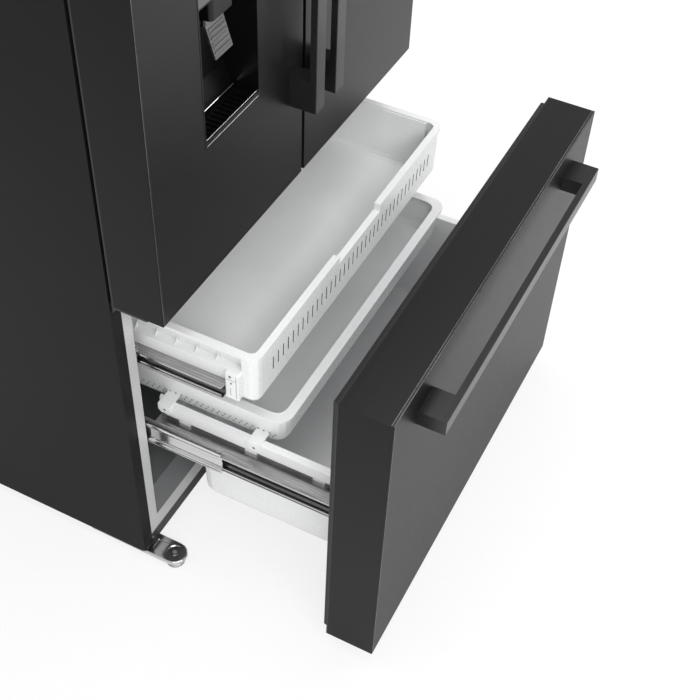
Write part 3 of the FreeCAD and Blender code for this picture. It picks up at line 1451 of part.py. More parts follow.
def write_all():
    os.makedirs("parts", exist_ok=True)
    for name, make in SUBPARTS.items():
        shape = make()
        solids = shape.Solids
        if not shape.isValid() or not solids:
            print("not valid:", name)
        shape = solids[0] if len(solids) == 1 else Part.makeCompound(solids)
        shape.exportStep("parts/" + name + ".step")
        box = shape.BoundBox
        print("%-22s solids %d  volume %9.1f cm3  x %7.1f %7.1f  y %7.1f %7.1f  z %7.1f %7.1f"
              % (name, len(solids), shape.Volume / 1000, box.XMin, box.XMax, box.YMin, box.YMax,
                 box.ZMin, box.ZMax))


write_all()
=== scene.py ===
import bmesh
import bpy
import json
import math
from mathutils import Matrix, Vector


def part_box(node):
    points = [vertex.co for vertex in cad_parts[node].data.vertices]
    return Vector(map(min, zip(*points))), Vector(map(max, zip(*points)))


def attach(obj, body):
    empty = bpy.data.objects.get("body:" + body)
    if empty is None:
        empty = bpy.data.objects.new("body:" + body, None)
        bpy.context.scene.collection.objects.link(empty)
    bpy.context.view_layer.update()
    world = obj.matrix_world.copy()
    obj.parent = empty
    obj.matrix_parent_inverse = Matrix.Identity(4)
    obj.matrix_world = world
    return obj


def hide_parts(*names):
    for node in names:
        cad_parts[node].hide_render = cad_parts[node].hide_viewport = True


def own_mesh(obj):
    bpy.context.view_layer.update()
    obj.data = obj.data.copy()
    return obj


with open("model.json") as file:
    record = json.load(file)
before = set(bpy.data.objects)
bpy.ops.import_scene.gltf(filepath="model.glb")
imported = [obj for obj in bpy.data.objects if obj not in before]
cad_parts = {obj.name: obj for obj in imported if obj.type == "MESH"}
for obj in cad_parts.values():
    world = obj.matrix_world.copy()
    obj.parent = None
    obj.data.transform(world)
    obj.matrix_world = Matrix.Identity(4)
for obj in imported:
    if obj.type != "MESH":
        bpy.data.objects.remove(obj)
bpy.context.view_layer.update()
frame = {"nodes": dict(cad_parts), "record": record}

nodes = frame["nodes"]


# ---------------------------------------------------------------- camera
def place_camera():
    """Camera at the photograph's viewpoint, in the row frame."""
    azimuth, elevation, roll = (math.radians(a) for a in (65.482, 46.470, 3.190))
    ahead = Vector((math.sin(azimuth) * math.cos(elevation), math.cos(azimuth) * math.cos(elevation),
                    -math.sin(elevation)))
    right = ahead.cross(Vector((0, 0, 1))).normalized()
    up = right.cross(ahead)
    across = math.cos(roll) * right + math.sin(roll) * up
    upward = -math.sin(roll) * right + math.cos(roll) * up
    data = bpy.data.cameras.new("camera")
    data.sensor_width = 36.0
    data.lens = 62.13
    data.clip_start, data.clip_end = 0.05, 60
    camera = bpy.data.objects.new("camera", data)
    turn = Matrix((across, upward, -ahead)).transposed()
    camera.matrix_world = Matrix.Translation((-1.522, -0.9387, 2.064)) @ turn.to_4x4()
    bpy.context.scene.collection.objects.link(camera)
    bpy.context.scene.camera = camera


place_camera()


# ---------------------------------------------------------------- materials
def linear(srgb):
    """One sRGB level, 0 to 1, as a linear one."""
    return srgb / 12.92 if srgb <= 0.04045 else ((srgb + 0.055) / 1.055) ** 2.4


def colour(level, tint=(1.0, 1.0, 1.0)):
    """Linear colour from an sRGB grey level, 0 to 255, with a light tint."""
    return tuple(min(1.0, linear(level / 255) * t) for t in tint) + (1.0,)


class Nodes:
    """Small helper that adds nodes to a material and links them."""

    def __init__(self, name):
        self.material = bpy.data.materials.new(name)
        self.material.use_nodes = True
        self.tree = self.material.node_tree
        self.shader = self.tree.nodes["Principled BSDF"]
        self.place = self.add("ShaderNodeTexCoord").outputs["Object"]

    def add(self, kind, **settings):
        node = self.tree.nodes.new(kind)
        for key, value in settings.items():
            setattr(node, key, value)
        return node

    def link(self, output, target):
        self.tree.links.new(output, target)

    def noise(self, scale, stretch=(1, 1, 1), detail=3.0, roughness=0.5):
        mapping = self.add("ShaderNodeMapping")
        mapping.inputs["Scale"].default_value = stretch
        self.link(self.place, mapping.inputs["Vector"])
        texture = self.add("ShaderNodeTexNoise")
        texture.inputs["Scale"].default_value = scale
        texture.inputs["Detail"].default_value = detail
        texture.inputs["Roughness"].default_value = roughness
        self.link(mapping.outputs["Vector"], texture.inputs["Vector"])
        return texture.outputs["Fac"]

    def spread(self, factor, low, high, start=0.3, end=0.7):
        """Noise level turned into a number between low and high."""
        node = self.add("ShaderNodeMapRange")
        node.inputs["From Min"].default_value = start
        node.inputs["From Max"].default_value = end
        node.inputs["To Min"].default_value = low
        node.inputs["To Max"].default_value = high
        self.link(factor, node.inputs["Value"])
        return node.outputs["Result"]

    def mix(self, factor, first, second):
        node = self.add("ShaderNodeMix", data_type="RGBA")
        self.link(factor, node.inputs["Factor"])
        node.inputs["A"].default_value = first
        node.inputs["B"].default_value = second
        return node.outputs["Result"]

    def bump(self, height, strength, distance):
        node = self.add("ShaderNodeBump")
        node.inputs["Strength"].default_value = strength
        node.inputs["Distance"].default_value = distance
        self.link(height, node.inputs["Height"])
        self.link(node.outputs["Normal"], self.shader.inputs["Normal"])


def surface(name, dark, light, rough, metallic=0.0, scale=8.0, stretch=(1, 1, 1), grain=(220.0, 0.08, 0.0002),
            tint=(1.0, 1.0, 1.0), coat=0.0, specular=0.5, grain_stretch=None, clear=0.0, ior=1.5):
    """Material with colour and gloss that vary softly and a fine grain in its bump.

    dark and light are sRGB levels, rough is (low, high), grain is (scale, strength, depth).
    """
    n = Nodes(name)
    broad = n.noise(scale, stretch)
    n.link(n.mix(n.spread(broad, 0.0, 1.0), colour(dark, tint), colour(light, tint)),
           n.shader.inputs["Base Color"])
    fine = n.noise(grain[0], grain_stretch or stretch, detail=2.0)
    n.link(n.spread(fine, rough[0], rough[1]), n.shader.inputs["Roughness"])
    n.bump(fine, grain[1], grain[2])
    n.shader.inputs["Metallic"].default_value = metallic
    n.shader.inputs["Specular IOR Level"].default_value = specular
    n.shader.inputs["IOR"].default_value = ior
    if coat:
        n.shader.inputs["Coat Weight"].default_value = coat
        n.shader.inputs["Coat Roughness"].default_value = 0.08
    if clear:
        n.shader.inputs["Transmission Weight"].default_value = clear
    return n.material


LEVEL = (1.2, 60.0, 60.0)        # brush lines along X

black_steel = surface("black_steel", 19, 23, (0.34, 0.42), metallic=0.15, scale=2.0,
                      stretch=LEVEL, grain=(30.0, 0.05, 0.00005), specular=0.28)
# Darker copy of black_steel: painted shade for the skins' sides and the drawer front's face
steel_painted_shade = surface("steel_painted_shade", 11, 14, (0.36, 0.44), scale=2.0, stretch=LEVEL,
                      grain=(30.0, 0.05, 0.00005), specular=0.16)
cabinet_paint = surface("cabinet_paint", 13, 17, (0.46, 0.58), specular=0.16, scale=2.5,
                        grain=(900.0, 0.22, 0.0002))
handle_black = surface("handle_black", 22, 30, (0.28, 0.36), metallic=0.1, scale=3.0, stretch=LEVEL,
                       grain=(9.0, 0.08, 0.0001))
inner_white = surface("inner_white", 224, 230, (0.30, 0.42), scale=5.0, grain=(420.0, 0.05, 0.0002),
                      tint=(0.985, 0.995, 1.0))
# Dark grey-blue painted shade for the inside of the freezer liner
liner_painted_shade = surface("liner_painted_shade", 112, 124, (0.28, 0.40), scale=4.0, grain=(380.0, 0.05, 0.0002),
                     tint=(0.95, 0.985, 1.0))
tray_white = surface("tray_white", 236, 243, (0.24, 0.36), scale=6.0, grain=(500.0, 0.05, 0.0002),
                     tint=(0.99, 0.995, 1.0), coat=0.15)
clear_plastic = surface("clear_plastic", 232, 240, (0.06, 0.14), scale=6.0, grain=(300.0, 0.03, 0.0002),
                        tint=(0.97, 1.0, 1.0), clear=0.85, ior=1.46)
shelf_glass = surface("shelf_glass", 214, 222, (0.02, 0.06), scale=3.0, grain=(90.0, 0.01, 0.0001),
                      tint=(0.90, 1.0, 0.97), clear=0.95, ior=1.5)
dark_plastic = surface("dark_plastic", 28, 36, (0.34, 0.50), scale=10.0, grain=(700.0, 0.12, 0.0002))
recess_plastic = surface("recess_plastic", 6, 9, (0.30, 0.40), scale=6.0, grain=(300.0, 0.02, 0.00005),
                         specular=0.3)
dark_glass = surface("dark_glass", 10, 14, (0.05, 0.10), scale=4.0, grain=(60.0, 0.01, 0.0001), coat=0.6)
polished_steel = surface("polished_steel", 205, 225, (0.10, 0.20), metallic=1.0, scale=12.0,
                         stretch=(40.0, 1.0, 40.0), grain=(14.0, 0.06, 0.00008))
rail_steel = surface("rail_steel", 150, 196, (0.18, 0.30), metallic=1.0, scale=10.0,
                     stretch=(40.0, 1.0, 40.0), grain=(14.0, 0.08, 0.0001))
zinc_sheet = surface("zinc_sheet", 168, 178, (0.34, 0.50), metallic=0.85, scale=26.0,
                     grain=(120.0, 0.06, 0.0001))
aluminium = surface("aluminium", 190, 206, (0.28, 0.42), metallic=1.0, scale=14.0,
                    grain=(200.0, 0.08, 0.0001))
seal_rubber = surface("seal_rubber", 30, 38, (0.55, 0.72), scale=14.0, grain=(600.0, 0.15, 0.0002))
black_enamel = surface("black_enamel", 24, 32, (0.28, 0.40), scale=8.0, grain=(500.0, 0.08, 0.0001))
roller_nylon = surface("roller_nylon", 176, 190, (0.40, 0.55), scale=14.0, grain=(400.0, 0.1, 0.0002))
foam = surface("foam", 214, 232, (0.80, 0.95), scale=30.0, grain=(300.0, 0.5, 0.001), tint=(1.0, 0.93, 0.72))
paddle_steel = surface("paddle_steel", 96, 136, (0.24, 0.40), metallic=0.9, scale=5.0,
                       stretch=(2.0, 1.0, 120.0), grain=(12.0, 0.12, 0.0001))
# Dark grey painted shade for the walls of the tray's slots
slot_painted_shade = surface("slot_painted_shade", 62, 84, (0.6, 0.8), scale=40.0, grain=(300.0, 0.1, 0.0001))
# Grey that is painted shade on the hole dots, notches and grooves, and the own grey of the clip screws
hole_shade_and_screw_grey = surface("hole_shade_and_screw_grey", 120, 140, (0.6, 0.8), scale=40.0, grain=(300.0, 0.1, 0.0001))
# Near-black painted shade for the liners' rims in the door gaps and the dark lines between the hem highlights
gap_painted_shade = surface("gap_painted_shade", 12, 18, (0.40, 0.55), scale=12.0, grain=(500.0, 0.08, 0.0001))
# Light grey steel for the painted highlights along the hems
hem_painted_highlight = surface("hem_painted_highlight", 92, 118, (0.25, 0.35), metallic=0.6, scale=20.0, grain=(200.0, 0.05, 0.0001))
race_shadow = surface("race_shadow", 34, 52, (0.30, 0.45), metallic=0.5, scale=14.0,
                      stretch=(30.0, 1.0, 30.0), grain=(40.0, 0.08, 0.0001))
mouth_white = surface("mouth_white", 188, 206, (0.30, 0.42), scale=3.0, grain=(420.0, 0.05, 0.0002))

LOOKS = {
    "outer_shell": cabinet_paint, "back_panel": zinc_sheet, "base_pan": black_enamel, "insulation_foam": foam,
    "fridge_liner": inner_white, "freezer_liner": liner_painted_shade, "center_rail": cabinet_paint,
    "top_hinges": black_enamel, "hinge_covers": dark_plastic, "middle_hinges": black_enamel,
    "foot_brackets": polished_steel, "rear_rollers": roller_nylon, "left_leveling_foot": zinc_sheet,
    "right_leveling_foot": zinc_sheet, "shelf_frames": tray_white, "shelf_panes": shelf_glass,
    "crisper_cover": tray_white, "left_crisper": clear_plastic, "right_crisper": clear_plastic,
    "air_duct_cover": inner_white, "ceiling_light_lens": tray_white, "evaporator_cover": inner_white,
    "evaporator_coil": aluminium, "evaporator_fan": tray_white, "evaporator_fan_motor": dark_plastic,
    "compressor": black_enamel, "condenser_coil": aluminium, "condenser_fan": dark_plastic,
    "condenser_fan_motor": black_enamel, "drain_pan": dark_plastic, "machine_cover": zinc_sheet,
    "drawer_outer_rails": rail_steel, "drawer_middle_rails": polished_steel,
    "drawer_inner_rails": rail_steel, "tray_outer_rails": rail_steel, "tray_middle_rails": polished_steel,
    "tray_inner_rails": rail_steel, "upper_tray": tray_white, "middle_tray": tray_white,
    "lower_basket": tray_white, "left_door_skin": black_steel, "left_door_liner": inner_white,
    "left_door_gasket": seal_rubber, "left_door_handle": handle_black, "left_door_bins": clear_plastic,
    "dispenser_housing": recess_plastic, "dispenser_panel": dark_glass, "dispenser_paddle": paddle_steel,
    "drip_grille": recess_plastic, "water_tank": clear_plastic, "folding_mullion": dark_plastic,
    "right_door_skin": black_steel, "right_door_liner": inner_white, "right_door_gasket": seal_rubber,
    "right_door_handle": handle_black, "right_door_bins": clear_plastic, "drawer_front_skin": black_steel,
    "drawer_front_liner": inner_white, "drawer_gasket": seal_rubber, "drawer_handle": handle_black,
}
for name, look in LOOKS.items():
    mesh = nodes[name].data
    mesh.materials.clear()
    mesh.materials.append(look)


# ---------------------------------------------------------------- second looks on single faces
def repaint(name, look, wanted):
    """Give a second look to the faces of a node that wanted(centre, normal), in millimetres, picks."""
    mesh = nodes[name].data
    mesh.materials.append(look)
    index = len(mesh.materials) - 1
    for face in mesh.polygons:
        if wanted(face.center * 1000, face.normal):
            face.material_index = index


def box_mm(name):
    low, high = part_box(name)
    return [v * 1000 for v in low], [v * 1000 for v in high]


def on_edge(name):
    """Picks the outward faces round the rim of an inner door, which are painted near-black as the shade in
    the gap between door and cabinet.
    """
    low, high = box_mm(name)

    def wanted(c, n):
        side = abs(n.x) > 0.9 and min(abs(c.x - low[0]), abs(c.x - high[0])) < 1
        end = abs(n.z) > 0.9 and min(abs(c.z - low[2]), abs(c.z - high[2])) < 1
        return side or end
    return wanted


# The liners' rim faces are painted near-black as the shade in the door gaps
for name in ("left_door_liner", "right_door_liner", "drawer_front_liner"):
    repaint(name, gap_painted_shade, on_edge(name))

# The skins' sides and the drawer front's face take the darker copy as painted shade
for name in ("drawer_front_skin", "left_door_skin", "right_door_skin"):
    repaint(name, steel_painted_shade, lambda c, n: abs(n.x) > 0.5)
repaint("drawer_front_skin", steel_painted_shade, lambda c, n: n.y < -0.5)

tray_front = box_mm("upper_tray")[0][1]
slot_reach = 335.0               # the slots' walls lie within this of the tray's middle
slot_levels = (548.0, 586.0)


def on_slot(c, n):
    """Picks the walls of the slots in the tray's front, which are painted dark grey as the shade inside the
    slots.
    """
    return (c.y < tray_front + 14 and slot_levels[0] < c.z < slot_levels[1] and abs(c.x) < slot_reach
            and abs(n.y) < 0.5)


repaint("upper_tray", slot_painted_shade, on_slot)
liner_front = box_mm("freezer_liner")[0][1]
liner_flange = 2.6               # just over the thickness of the flange in the cabinet's face
# The front flange faces get a paler grey, the liner's inside keeps the painted shade
repaint("freezer_liner", mouth_white, lambda c, n: c.y < liner_front + liner_flange)


# ---------------------------------------------------------------- added pieces
class Shape:
    """Mesh gathered from extrusions, sweeps and discs in millimetres, then laid in the row frame."""

    def __init__(self, name):
        self.name = name
        self.mesh = bmesh.new()

    def loops(self, rings, closed_ends=True, ring_of_rings=False):
        """Skin between rings of points, with the first and last ring filled."""
        rows = [[self.mesh.verts.new([v / 1000 for v in point]) for point in ring] for ring in rings]
        pairs = list(zip(rows, rows[1:])) + ([(rows[-1], rows[0])] if ring_of_rings else [])
        for a, b in pairs:
            for i in range(len(a)):
                j = (i + 1) % len(a)
                self.mesh.faces.new((a[i], a[j], b[j], b[i]))
        if closed_ends and not ring_of_rings:
            self.mesh.faces.new(rows[0][::-1])
            self.mesh.faces.new(rows[-1])

    def along(self, axis, outline, low, high):
        """Outline in the two other axes, in their order, drawn out from low to high."""
        def place(u, v, w):
            point = [u, v]
            point.insert(axis, w)
            return point
        self.loops([[place(u, v, low) for u, v in outline], [place(u, v, high) for u, v in outline]])

    def bar(self, x0, x1, y0, y1, z0, z1, cut=0.4):
        """Bar with its long edges cut off."""
        spans = (x1 - x0, y1 - y0, z1 - z0)
        axis = spans.index(max(spans))
        (a0, a1), (b0, b1) = [p for i, p in enumerate(((x0, x1), (y0, y1), (z0, z1))) if i != axis]
        cut = min(cut, (a1 - a0) / 3, (b1 - b0) / 3)
        outline = [(a0 + cut, b0), (a1 - cut, b0), (a1, b0 + cut), (a1, b1 - cut), (a1 - cut, b1),
                   (a0 + cut, b1), (a0, b1 - cut), (a0, b0 + cut)]
        self.along(axis, outline, (x0, y0, z0)[axis], (x1, y1, z1)[axis])

    def disc(self, axis, centre, radius, low, high, sides=10):
        """Small round plate with a softened top edge about a line along an axis."""
        u, v = [c for i, c in enumerate(centre) if i != axis]

        def ring(r, w):
            points = []
            for k in range(sides):
                turn = 2 * math.pi * k / sides
                point = [u + r * math.cos(turn), v + r * math.sin(turn)]
                point.insert(axis, w)
                points.append(point)
            return points
        self.loops([ring(radius, low), ring(radius, (low + high) / 2), ring(radius * 0.85, high)])

    def frame(self, x0, x1, z0, z1, profile):
        """Profile of (inset, y) points carried round an upright rectangle."""
        rings = [[(x0 + d, y, z0 + d), (x1 - d, y, z0 + d), (x1 - d, y, z1 - d), (x0 + d, y, z1 - d)]
                 for d, y in profile]
        self.loops(rings, ring_of_rings=True)

    def done(self, look, node, slot, smooth=30):
        """Finish the mesh and let it ride on the body that carries this node."""
        bmesh.ops.recalc_face_normals(self.mesh, faces=self.mesh.faces)
        data = bpy.data.meshes.new(self.name)
        self.mesh.to_mesh(data)
        self.mesh.free()
        data.materials.append(look)
        data.shade_smooth()
        data.set_sharp_from_angle(angle=math.radians(smooth))
        obj = bpy.data.objects.new(self.name, data)
        bpy.context.scene.collection.objects.link(obj)
        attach(obj, carrier(node))
        return obj


bodies_of = frame["record"]["behaviour"]["bodies"]


def carrier(node):
    return next(body for body, members in bodies_of.items() if node in members)


# Places and sizes that the trim shares, in millimetres
drawer_slide_z = 344.0          # middle of each slide
tray_slide_z = 542.0
hem_end = 1.0                   # hem lines stop this far short of the corners
hem_root = 0.1                  # part of a hem line that sits in the steel
highlight_rise = 0.25               # painted highlight and painted shade hem lines stand this far out of it
shade_rise = 0.2


def between(side, near, far):
    """The two distances from the middle plane, on one side of it, the lower x first."""
    return sorted((side * near, side * far))


def top_line(shape, low, high, start, stop, rise):
    """Line along the top face, from start to stop behind its front edge."""
    shape.bar(low[0] + hem_end, high[0] - hem_end, low[1] + start, low[1] + stop,
              high[2] - hem_root, high[2] + rise, hem_root)


def upright_line(shape, low, high, start, stop, rise):
    """Line up the front face, from start to stop inside its left edge."""
    shape.bar(low[0] + start, low[0] + stop, low[1] - rise, low[1] + hem_root,
              low[2] + hem_end, high[2] - hem_end, hem_root)


def front_hems():
    """Painted highlight and painted shade lines along the front edges of the drawer front and the left door,
    standing in for the light on their folded hems.
    """
    low, high = box_mm("drawer_front_skin")
    light, dark = Shape("hem_highlight_lines"), Shape("hem_shade_lines")
    top_line(light, low, high, 0.6, 1.8, highlight_rise)
    top_line(light, low, high, 5.0, 6.2, highlight_rise)
    top_line(dark, low, high, 2.0, 4.8, shade_rise)
    upright_line(light, low, high, 1.6, 2.8, highlight_rise)
    upright_line(dark, low, high, 3.2, 4.6, shade_rise)
    light.done(hem_painted_highlight, "drawer_front_skin", "black_steel")
    dark.done(gap_painted_shade, "drawer_front_skin", "black_steel")
    low, high = box_mm("left_door_skin")
    light, dark = Shape("door_hem_highlights"), Shape("door_hem_shades")
    upright_line(light, low, high, 1.6, 2.6, highlight_rise)
    upright_line(dark, low, high, 3.0, 4.4, shade_rise)
    light.done(hem_painted_highlight, "left_door_skin", "black_steel")
    dark.done(gap_painted_shade, "left_door_skin", "black_steel")


def drawer_seal():
    """Free bellows of the drawer's gasket: two ridges in their free shape, which in the real seal flatten as
    the drawer shuts.
    """
    low, high = box_mm("drawer_gasket")
    y = low[1]
    seal = Shape("drawer_seal")
    outer_ridge = [(0.0, y), (0.0, y + 8.5), (1.2, y + 10.6), (3.6, y + 10.6), (4.8, y + 8.0)]
    valley = [(5.4, y + 4.0), (6.8, y + 4.0)]
    inner_ridge = [(7.6, y + 9.5), (9.0, y + 11.4), (12.0, y + 11.4), (13.6, y + 8.5), (14.0, y)]
    seal.frame(low[0], high[0], low[2], high[2], outer_ridge + valley + inner_ridge)
    obj = seal.done(seal_rubber, "drawer_gasket", "seal_rubber", 50)
    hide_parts("drawer_gasket")
    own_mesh(obj)


def rolled_member(name, node, z, top, race):
    """Middle member of a slide on both sides: rolled races and a sunk web."""
    low, high = box_mm(node)
    race_width = 14.2
    x0, x1 = -low[0], -low[0] - race_width
    inside = top - race
    outer_face = [(x1 + 1.2, top), (x0 - 2.6, top), (x0 - 0.8, top - 1.0), (x0, top - 3.0),
                  (x0, inside + 2.4), (x0 - 0.5, inside), (x0 - 0.6, inside - 1.6),
                  (x0 - 2.3, inside - 3.4), (x0 - 5.0, inside - 4.4)]
    inner_face = [(x0 - 6.4, inside - 5.0), (x0 - 2.6, inside - 1.2), (x0 - 2.4, inside + 0.3),
                  (x1 + 1.6, inside + 0.3), (x1, inside + 2), (x1, top - 1.2)]
    outline = outer_face + [(x, -h) for x, h in outer_face[::-1]]
    outline += [(x, -h) for x, h in inner_face[::-1]] + inner_face
    body = Shape(name)
    for side in (-1, 1):
        body.along(1, [(side * x, z + h) for x, h in outline], low[1], high[1])
    obj = body.done(polished_steel, node, "polished_steel", 35)
    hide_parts(node)
    lines = Shape(name + "_lines")
    line_width = 1.6
    line_rise = inside + 1.2
    for side in (-1, 1):
        for h in (line_rise, -line_rise - line_width):
            a, b = between(side, x0 - 0.4, x0)
            lines.bar(a, b, low[1] + 2, high[1] - 2, z + h, z + h + line_width, 0.1)
    lines.done(race_shadow, node, "polished_steel")


def drawer_rail_end():
    """Dark end plate at the front of the drawer's outer rails."""
    low, high = box_mm("drawer_outer_rails")
    plate = Shape("rail_end_plates")
    for side in (-1, 1):
        x0, x1 = between(side, -low[0] - 0.2, -low[0] - 1.4)
        plate.bar(x0, x1, low[1] - 3.0, low[1] + 30, low[2] + 1, high[2] - 1)
    plate.done(race_shadow, "drawer_outer_rails", "rail_steel")


def inner_lines():
    """Rolled beads and grooves along the drawer's and the tray's inner rails: the beads take brighter steel
    as a painted highlight, the grooves are dark strips of painted shade.
    """
    web_face = 385.7
    groove_depth = 1.5
    groove_drop = 4.5
    for node, z, rise in (("drawer_inner_rails", drawer_slide_z, 14.2),
                          ("tray_inner_rails", tray_slide_z, 8.6)):
        low, high = box_mm(node)
        y0, y1 = low[1] + 4, high[1] - 4
        bright, dark = Shape(node + "_beads"), Shape(node + "_grooves")
        outer = -low[0] - 0.2
        for side in (-1, 1):
            for h in (rise, -rise):
                a, b = between(side, outer - 3.2, outer)
                bright.bar(a, b, y0, y1, z + h - 1.5, z + h + 1.5, 1.0)
            for h in (rise - groove_drop, groove_drop - rise):
                a, b = between(side, web_face, web_face + groove_depth)
                dark.bar(a, b, y0, y1, z + h - 1.2, z + h + 1.2, 0.3)
        bright.done(polished_steel, node, "rail_steel")
        dark.done(race_shadow, node, "rail_steel")


def tray_trim():
    """Gusset ribs, notches, and the grooves and screws of the clips, on the upper tray's sides; the notches
    and grooves are grey strips of painted shade.
    """
    top = box_mm("upper_tray")[1][2]
    ribs, marks = Shape("tray_ribs"), Shape("tray_notches")
    boss = Shape("tray_clip_screws")
    wall = 363.0
    rib_start, rib_pitch, rib_count, rib_width = -170, 40, 9, 1.8
    clip_face = 386.5
    clip_grooves = ((-217.0, -216.2, 527, 578), (-216.0, -199.0, 567.4, 568.2), (-206.0, -205.2, 530, 548))
    for side in (-1, 1):
        for i in range(rib_count):
            y = rib_start + rib_pitch * i
            gusset = [(side * (wall - 1), top - 41), (side * (wall + 10), top - 41),
                      (side * (wall - 1), top - 30)]
            ribs.along(1, gusset, y, y + rib_width)
            a, b = between(side, wall - 1, wall + 12.5)
            marks.bar(a, b, y + 14, y + 24, top - 7.6, top - 6.9, 0.1)
        for y, z, radius in ((-205, 575, 3.0), (-207, 560, 2.2)):
            boss.disc(0, (0, y, z), radius, side * (clip_face - 0.1), side * (clip_face + 0.8), 10)
        a, b = between(side, clip_face, clip_face + 0.5)
        for y0, y1, z0, z1 in clip_grooves:
            marks.bar(a, b, y0, y1, z0, z1, 0.1)
    ribs.done(tray_white, "upper_tray", "white_plastic")
    marks.done(hole_shade_and_screw_grey, "upper_tray", "white_plastic")
    boss.done(hole_shade_and_screw_grey, "upper_tray", "white_plastic")


def side_dots():
    """Grey dots of painted shade for the small holes: two rows on the middle tray, groups of three rows on
    the basket.
    """
    dots = Shape("middle_tray_holes")
    wall_top, wall_drop, wall_lean = (337.0, 448.0), 61.0, 6.2
    for side in (-1, 1):
        for row, z in enumerate((404.0, 396.0)):
            wall = wall_top[0] - (wall_top[1] - z) / wall_drop * wall_lean
            for i in range(26):
                y = -262 + 11.5 * i + 5 * row
                dots.disc(0, (0, y, z), 1.4, side * (wall + 4.2), side * (wall + 5.2), 8)
    dots.done(hole_shade_and_screw_grey, "middle_tray", "white_plastic")
    holes = Shape("basket_holes")
    rows, columns, pitch = 3, 9, 8
    first_row, radius = 300, 1.6
    side_groups, side_start, side_pitch = 3, -380, 92
    front_groups, front_start, front_pitch = 6, -300, 105
    for side in (-1, 1):
        for group in range(side_groups):
            for row in range(rows):
                for i in range(columns):
                    y = side_start + side_pitch * group + pitch * i
                    z = first_row - pitch * row
                    holes.disc(0, (0, y, z), radius, side * 352.4, side * 353.4, 8)
    for group in range(front_groups):
        for row in range(rows):
            for i in range(columns):
                x = front_start + front_pitch * group + pitch * i
                z = first_row - pitch * row
                holes.disc(1, (x, 0, z), radius, -419.0, -420.6, 8)
    holes.done(hole_shade_and_screw_grey, "lower_basket", "white_plastic")


def hook_pins():
    """Pins in the holes of the middle tray's hooks."""
    front = box_mm("middle_tray")[0][1]
    hook_front, hook_pitch, hook_level = 52, 186, 390.3
    pins = Shape("hook_pins")
    for side in (-1, 1):
        for y in (front + hook_front, front + hook_front + hook_pitch):
            pins.disc(0, (0, y, hook_level), 2.6, side * 368.6, side * 371.0, 10)
    pins.done(race_shadow, "middle_tray", "white_plastic")


def dispenser_trim():
    """Painted highlights of polished steel at the recess's lip and at the back of its drip tray."""
    lip = Shape("recess_lip_highlights")
    x0, x1 = -303.0, -152.0
    tray_level = 973.0
    lip.bar(x0, x1, -132.3, -131.5, 963.0, 964.0, 0.2)
    lip.bar(x0, x1, -130.2, -129.2, tray_level - 0.7, tray_level, 0.2)
    lip.bar(x0 + 4, x1 - 4, -90.6, -88.6, tray_level, tray_level + 2.2, 0.6)
    lip.done(polished_steel, "dispenser_housing", "dark_plastic")


def rear_screws():
    """Screws round the edge of the rear panel."""
    low, high = box_mm("back_panel")
    heads = Shape("rear_screw_heads")
    y = high[1]
    bottom, middle, top = low[2] + 12, (low[2] + high[2]) / 2, high[2] - 12
    outermost = 430
    for x in (-outermost, -215, 0, 215, outermost):
        for z in (bottom, middle, top):
            if abs(x) == outermost or z != middle:
                heads.disc(1, (x, 0, z), 4.2, y - 2.6, y - 0.05, 12)
    heads.done(zinc_sheet, "back_panel", "zinc_sheet")


front_hems()
drawer_seal()
rolled_member("drawer_mid_races", "drawer_middle_rails", drawer_slide_z, 27.2, 8.0)
rolled_member("tray_mid_races", "tray_middle_rails", tray_slide_z, 18.2, 5.0)
drawer_rail_end()
inner_lines()
tray_trim()
side_dots()
hook_pins()
dispenser_trim()
rear_screws()

SOFT_EDGED = ("left_door_skin", "right_door_skin", "drawer_front_skin", "left_door_handle",
              "right_door_handle", "drawer_handle", "outer_shell", "foot_brackets")


def soften_edges():
    """Small rounds on the folded steel and the handles, so that their edges catch the light."""
    for name in SOFT_EDGED:
        bevel = nodes[name].modifiers.new("soft edges", "BEVEL")
        bevel.width = 0.0009
        bevel.segments = 2
        bevel.limit_method = "ANGLE"
        bevel.angle_limit = math.radians(40)
        bevel.harden_normals = False


soften_edges()


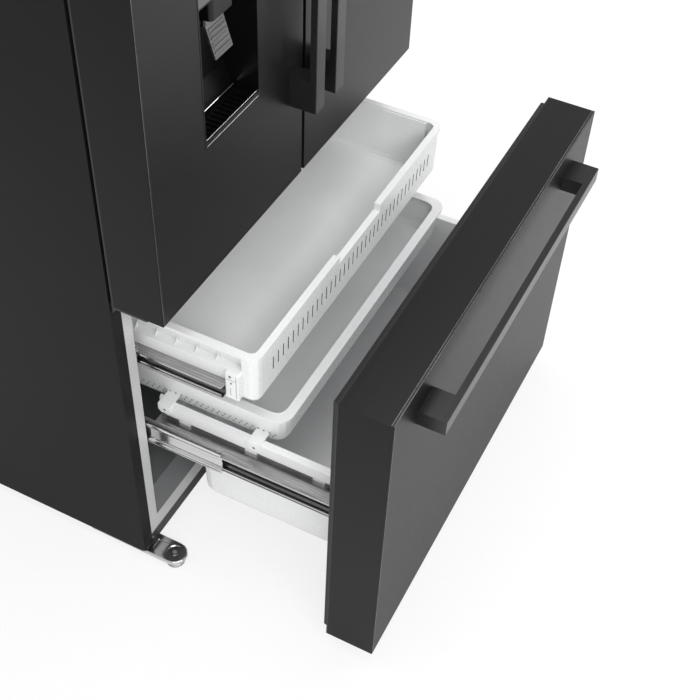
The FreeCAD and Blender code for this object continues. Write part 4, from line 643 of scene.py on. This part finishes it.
# ---------------------------------------------------------------- floor, background and light
def floor_material():
    """Pale floor that stays white to the camera and keeps the soft shadow."""
    n = Nodes("floor")
    speckle = n.noise(30.0, detail=4.0)
    n.link(n.mix(n.spread(speckle, 0.0, 1.0), (0.86, 0.86, 0.86, 1), (0.90, 0.90, 0.90, 1)),
           n.shader.inputs["Base Color"])
    n.shader.inputs["Roughness"].default_value = 0.9
    n.shader.inputs["Specular IOR Level"].default_value = 0.1
    glow = n.add("ShaderNodeEmission")
    glow.inputs["Color"].default_value = (1, 1, 1, 1)
    glow.inputs["Strength"].default_value = 1.0
    path = n.add("ShaderNodeLightPath")
    share = n.add("ShaderNodeMath", operation="MULTIPLY")
    share.inputs[1].default_value = 0.80
    n.link(path.outputs["Is Camera Ray"], share.inputs[0])
    blend = n.add("ShaderNodeMixShader")
    n.link(share.outputs[0], blend.inputs["Fac"])
    n.link(n.shader.outputs["BSDF"], blend.inputs[1])
    n.link(glow.outputs["Emission"], blend.inputs[2])
    n.link(blend.outputs["Shader"], n.tree.nodes["Material Output"].inputs["Surface"])
    return n.material


def lay_floor():
    mesh = bpy.data.meshes.new("floor")
    edge = 14.0
    corners = [(-edge, -edge, 0), (edge, -edge, 0), (edge, edge, 0), (-edge, edge, 0)]
    mesh.from_pydata(corners, [], [(0, 1, 2, 3)])
    floor = bpy.data.objects.new("floor", mesh)
    floor.location.z = -0.0005
    mesh.materials.append(floor_material())
    bpy.context.scene.collection.objects.link(floor)


def lamp(name, place, target, size, watts):
    data = bpy.data.lights.new(name, "AREA")
    data.shape = "RECTANGLE"
    data.size, data.size_y = size
    data.energy = watts
    light = bpy.data.objects.new(name, data)
    light.location = place
    light.rotation_euler = (Vector(target) - Vector(place)).to_track_quat("-Z", "Y").to_euler()
    bpy.context.scene.collection.objects.link(light)


def light_world(level):
    """Even pale surround: white to the camera, softer as a light and in reflections."""
    world = bpy.data.worlds.new("world")
    bpy.context.scene.world = world
    world.use_nodes = True
    tree = world.node_tree
    background = tree.nodes["Background"]
    background.inputs["Color"].default_value = (1, 1, 1, 1)
    path = tree.nodes.new("ShaderNodeLightPath")
    shown = tree.nodes.new("ShaderNodeMapRange")
    shown.inputs["To Min"].default_value = level
    shown.inputs["To Max"].default_value = 1.0
    tree.links.new(path.outputs["Is Camera Ray"], shown.inputs["Value"])
    tree.links.new(shown.outputs["Result"], background.inputs["Strength"])


lay_floor()
light_world(0.62)
lamp("key", (-2.6, -2.8, 3.6), (0, -0.2, 0.7), (2.4, 2.4), 115)
lamp("fill", (2.6, -3.2, 2.2), (0, -0.2, 0.8), (2.6, 2.0), 40)
lamp("top", (0.2, 0.2, 4.4), (0, 0, 0.8), (3.0, 3.0), 110)
bpy.context.scene.view_settings.view_transform = "Standard"
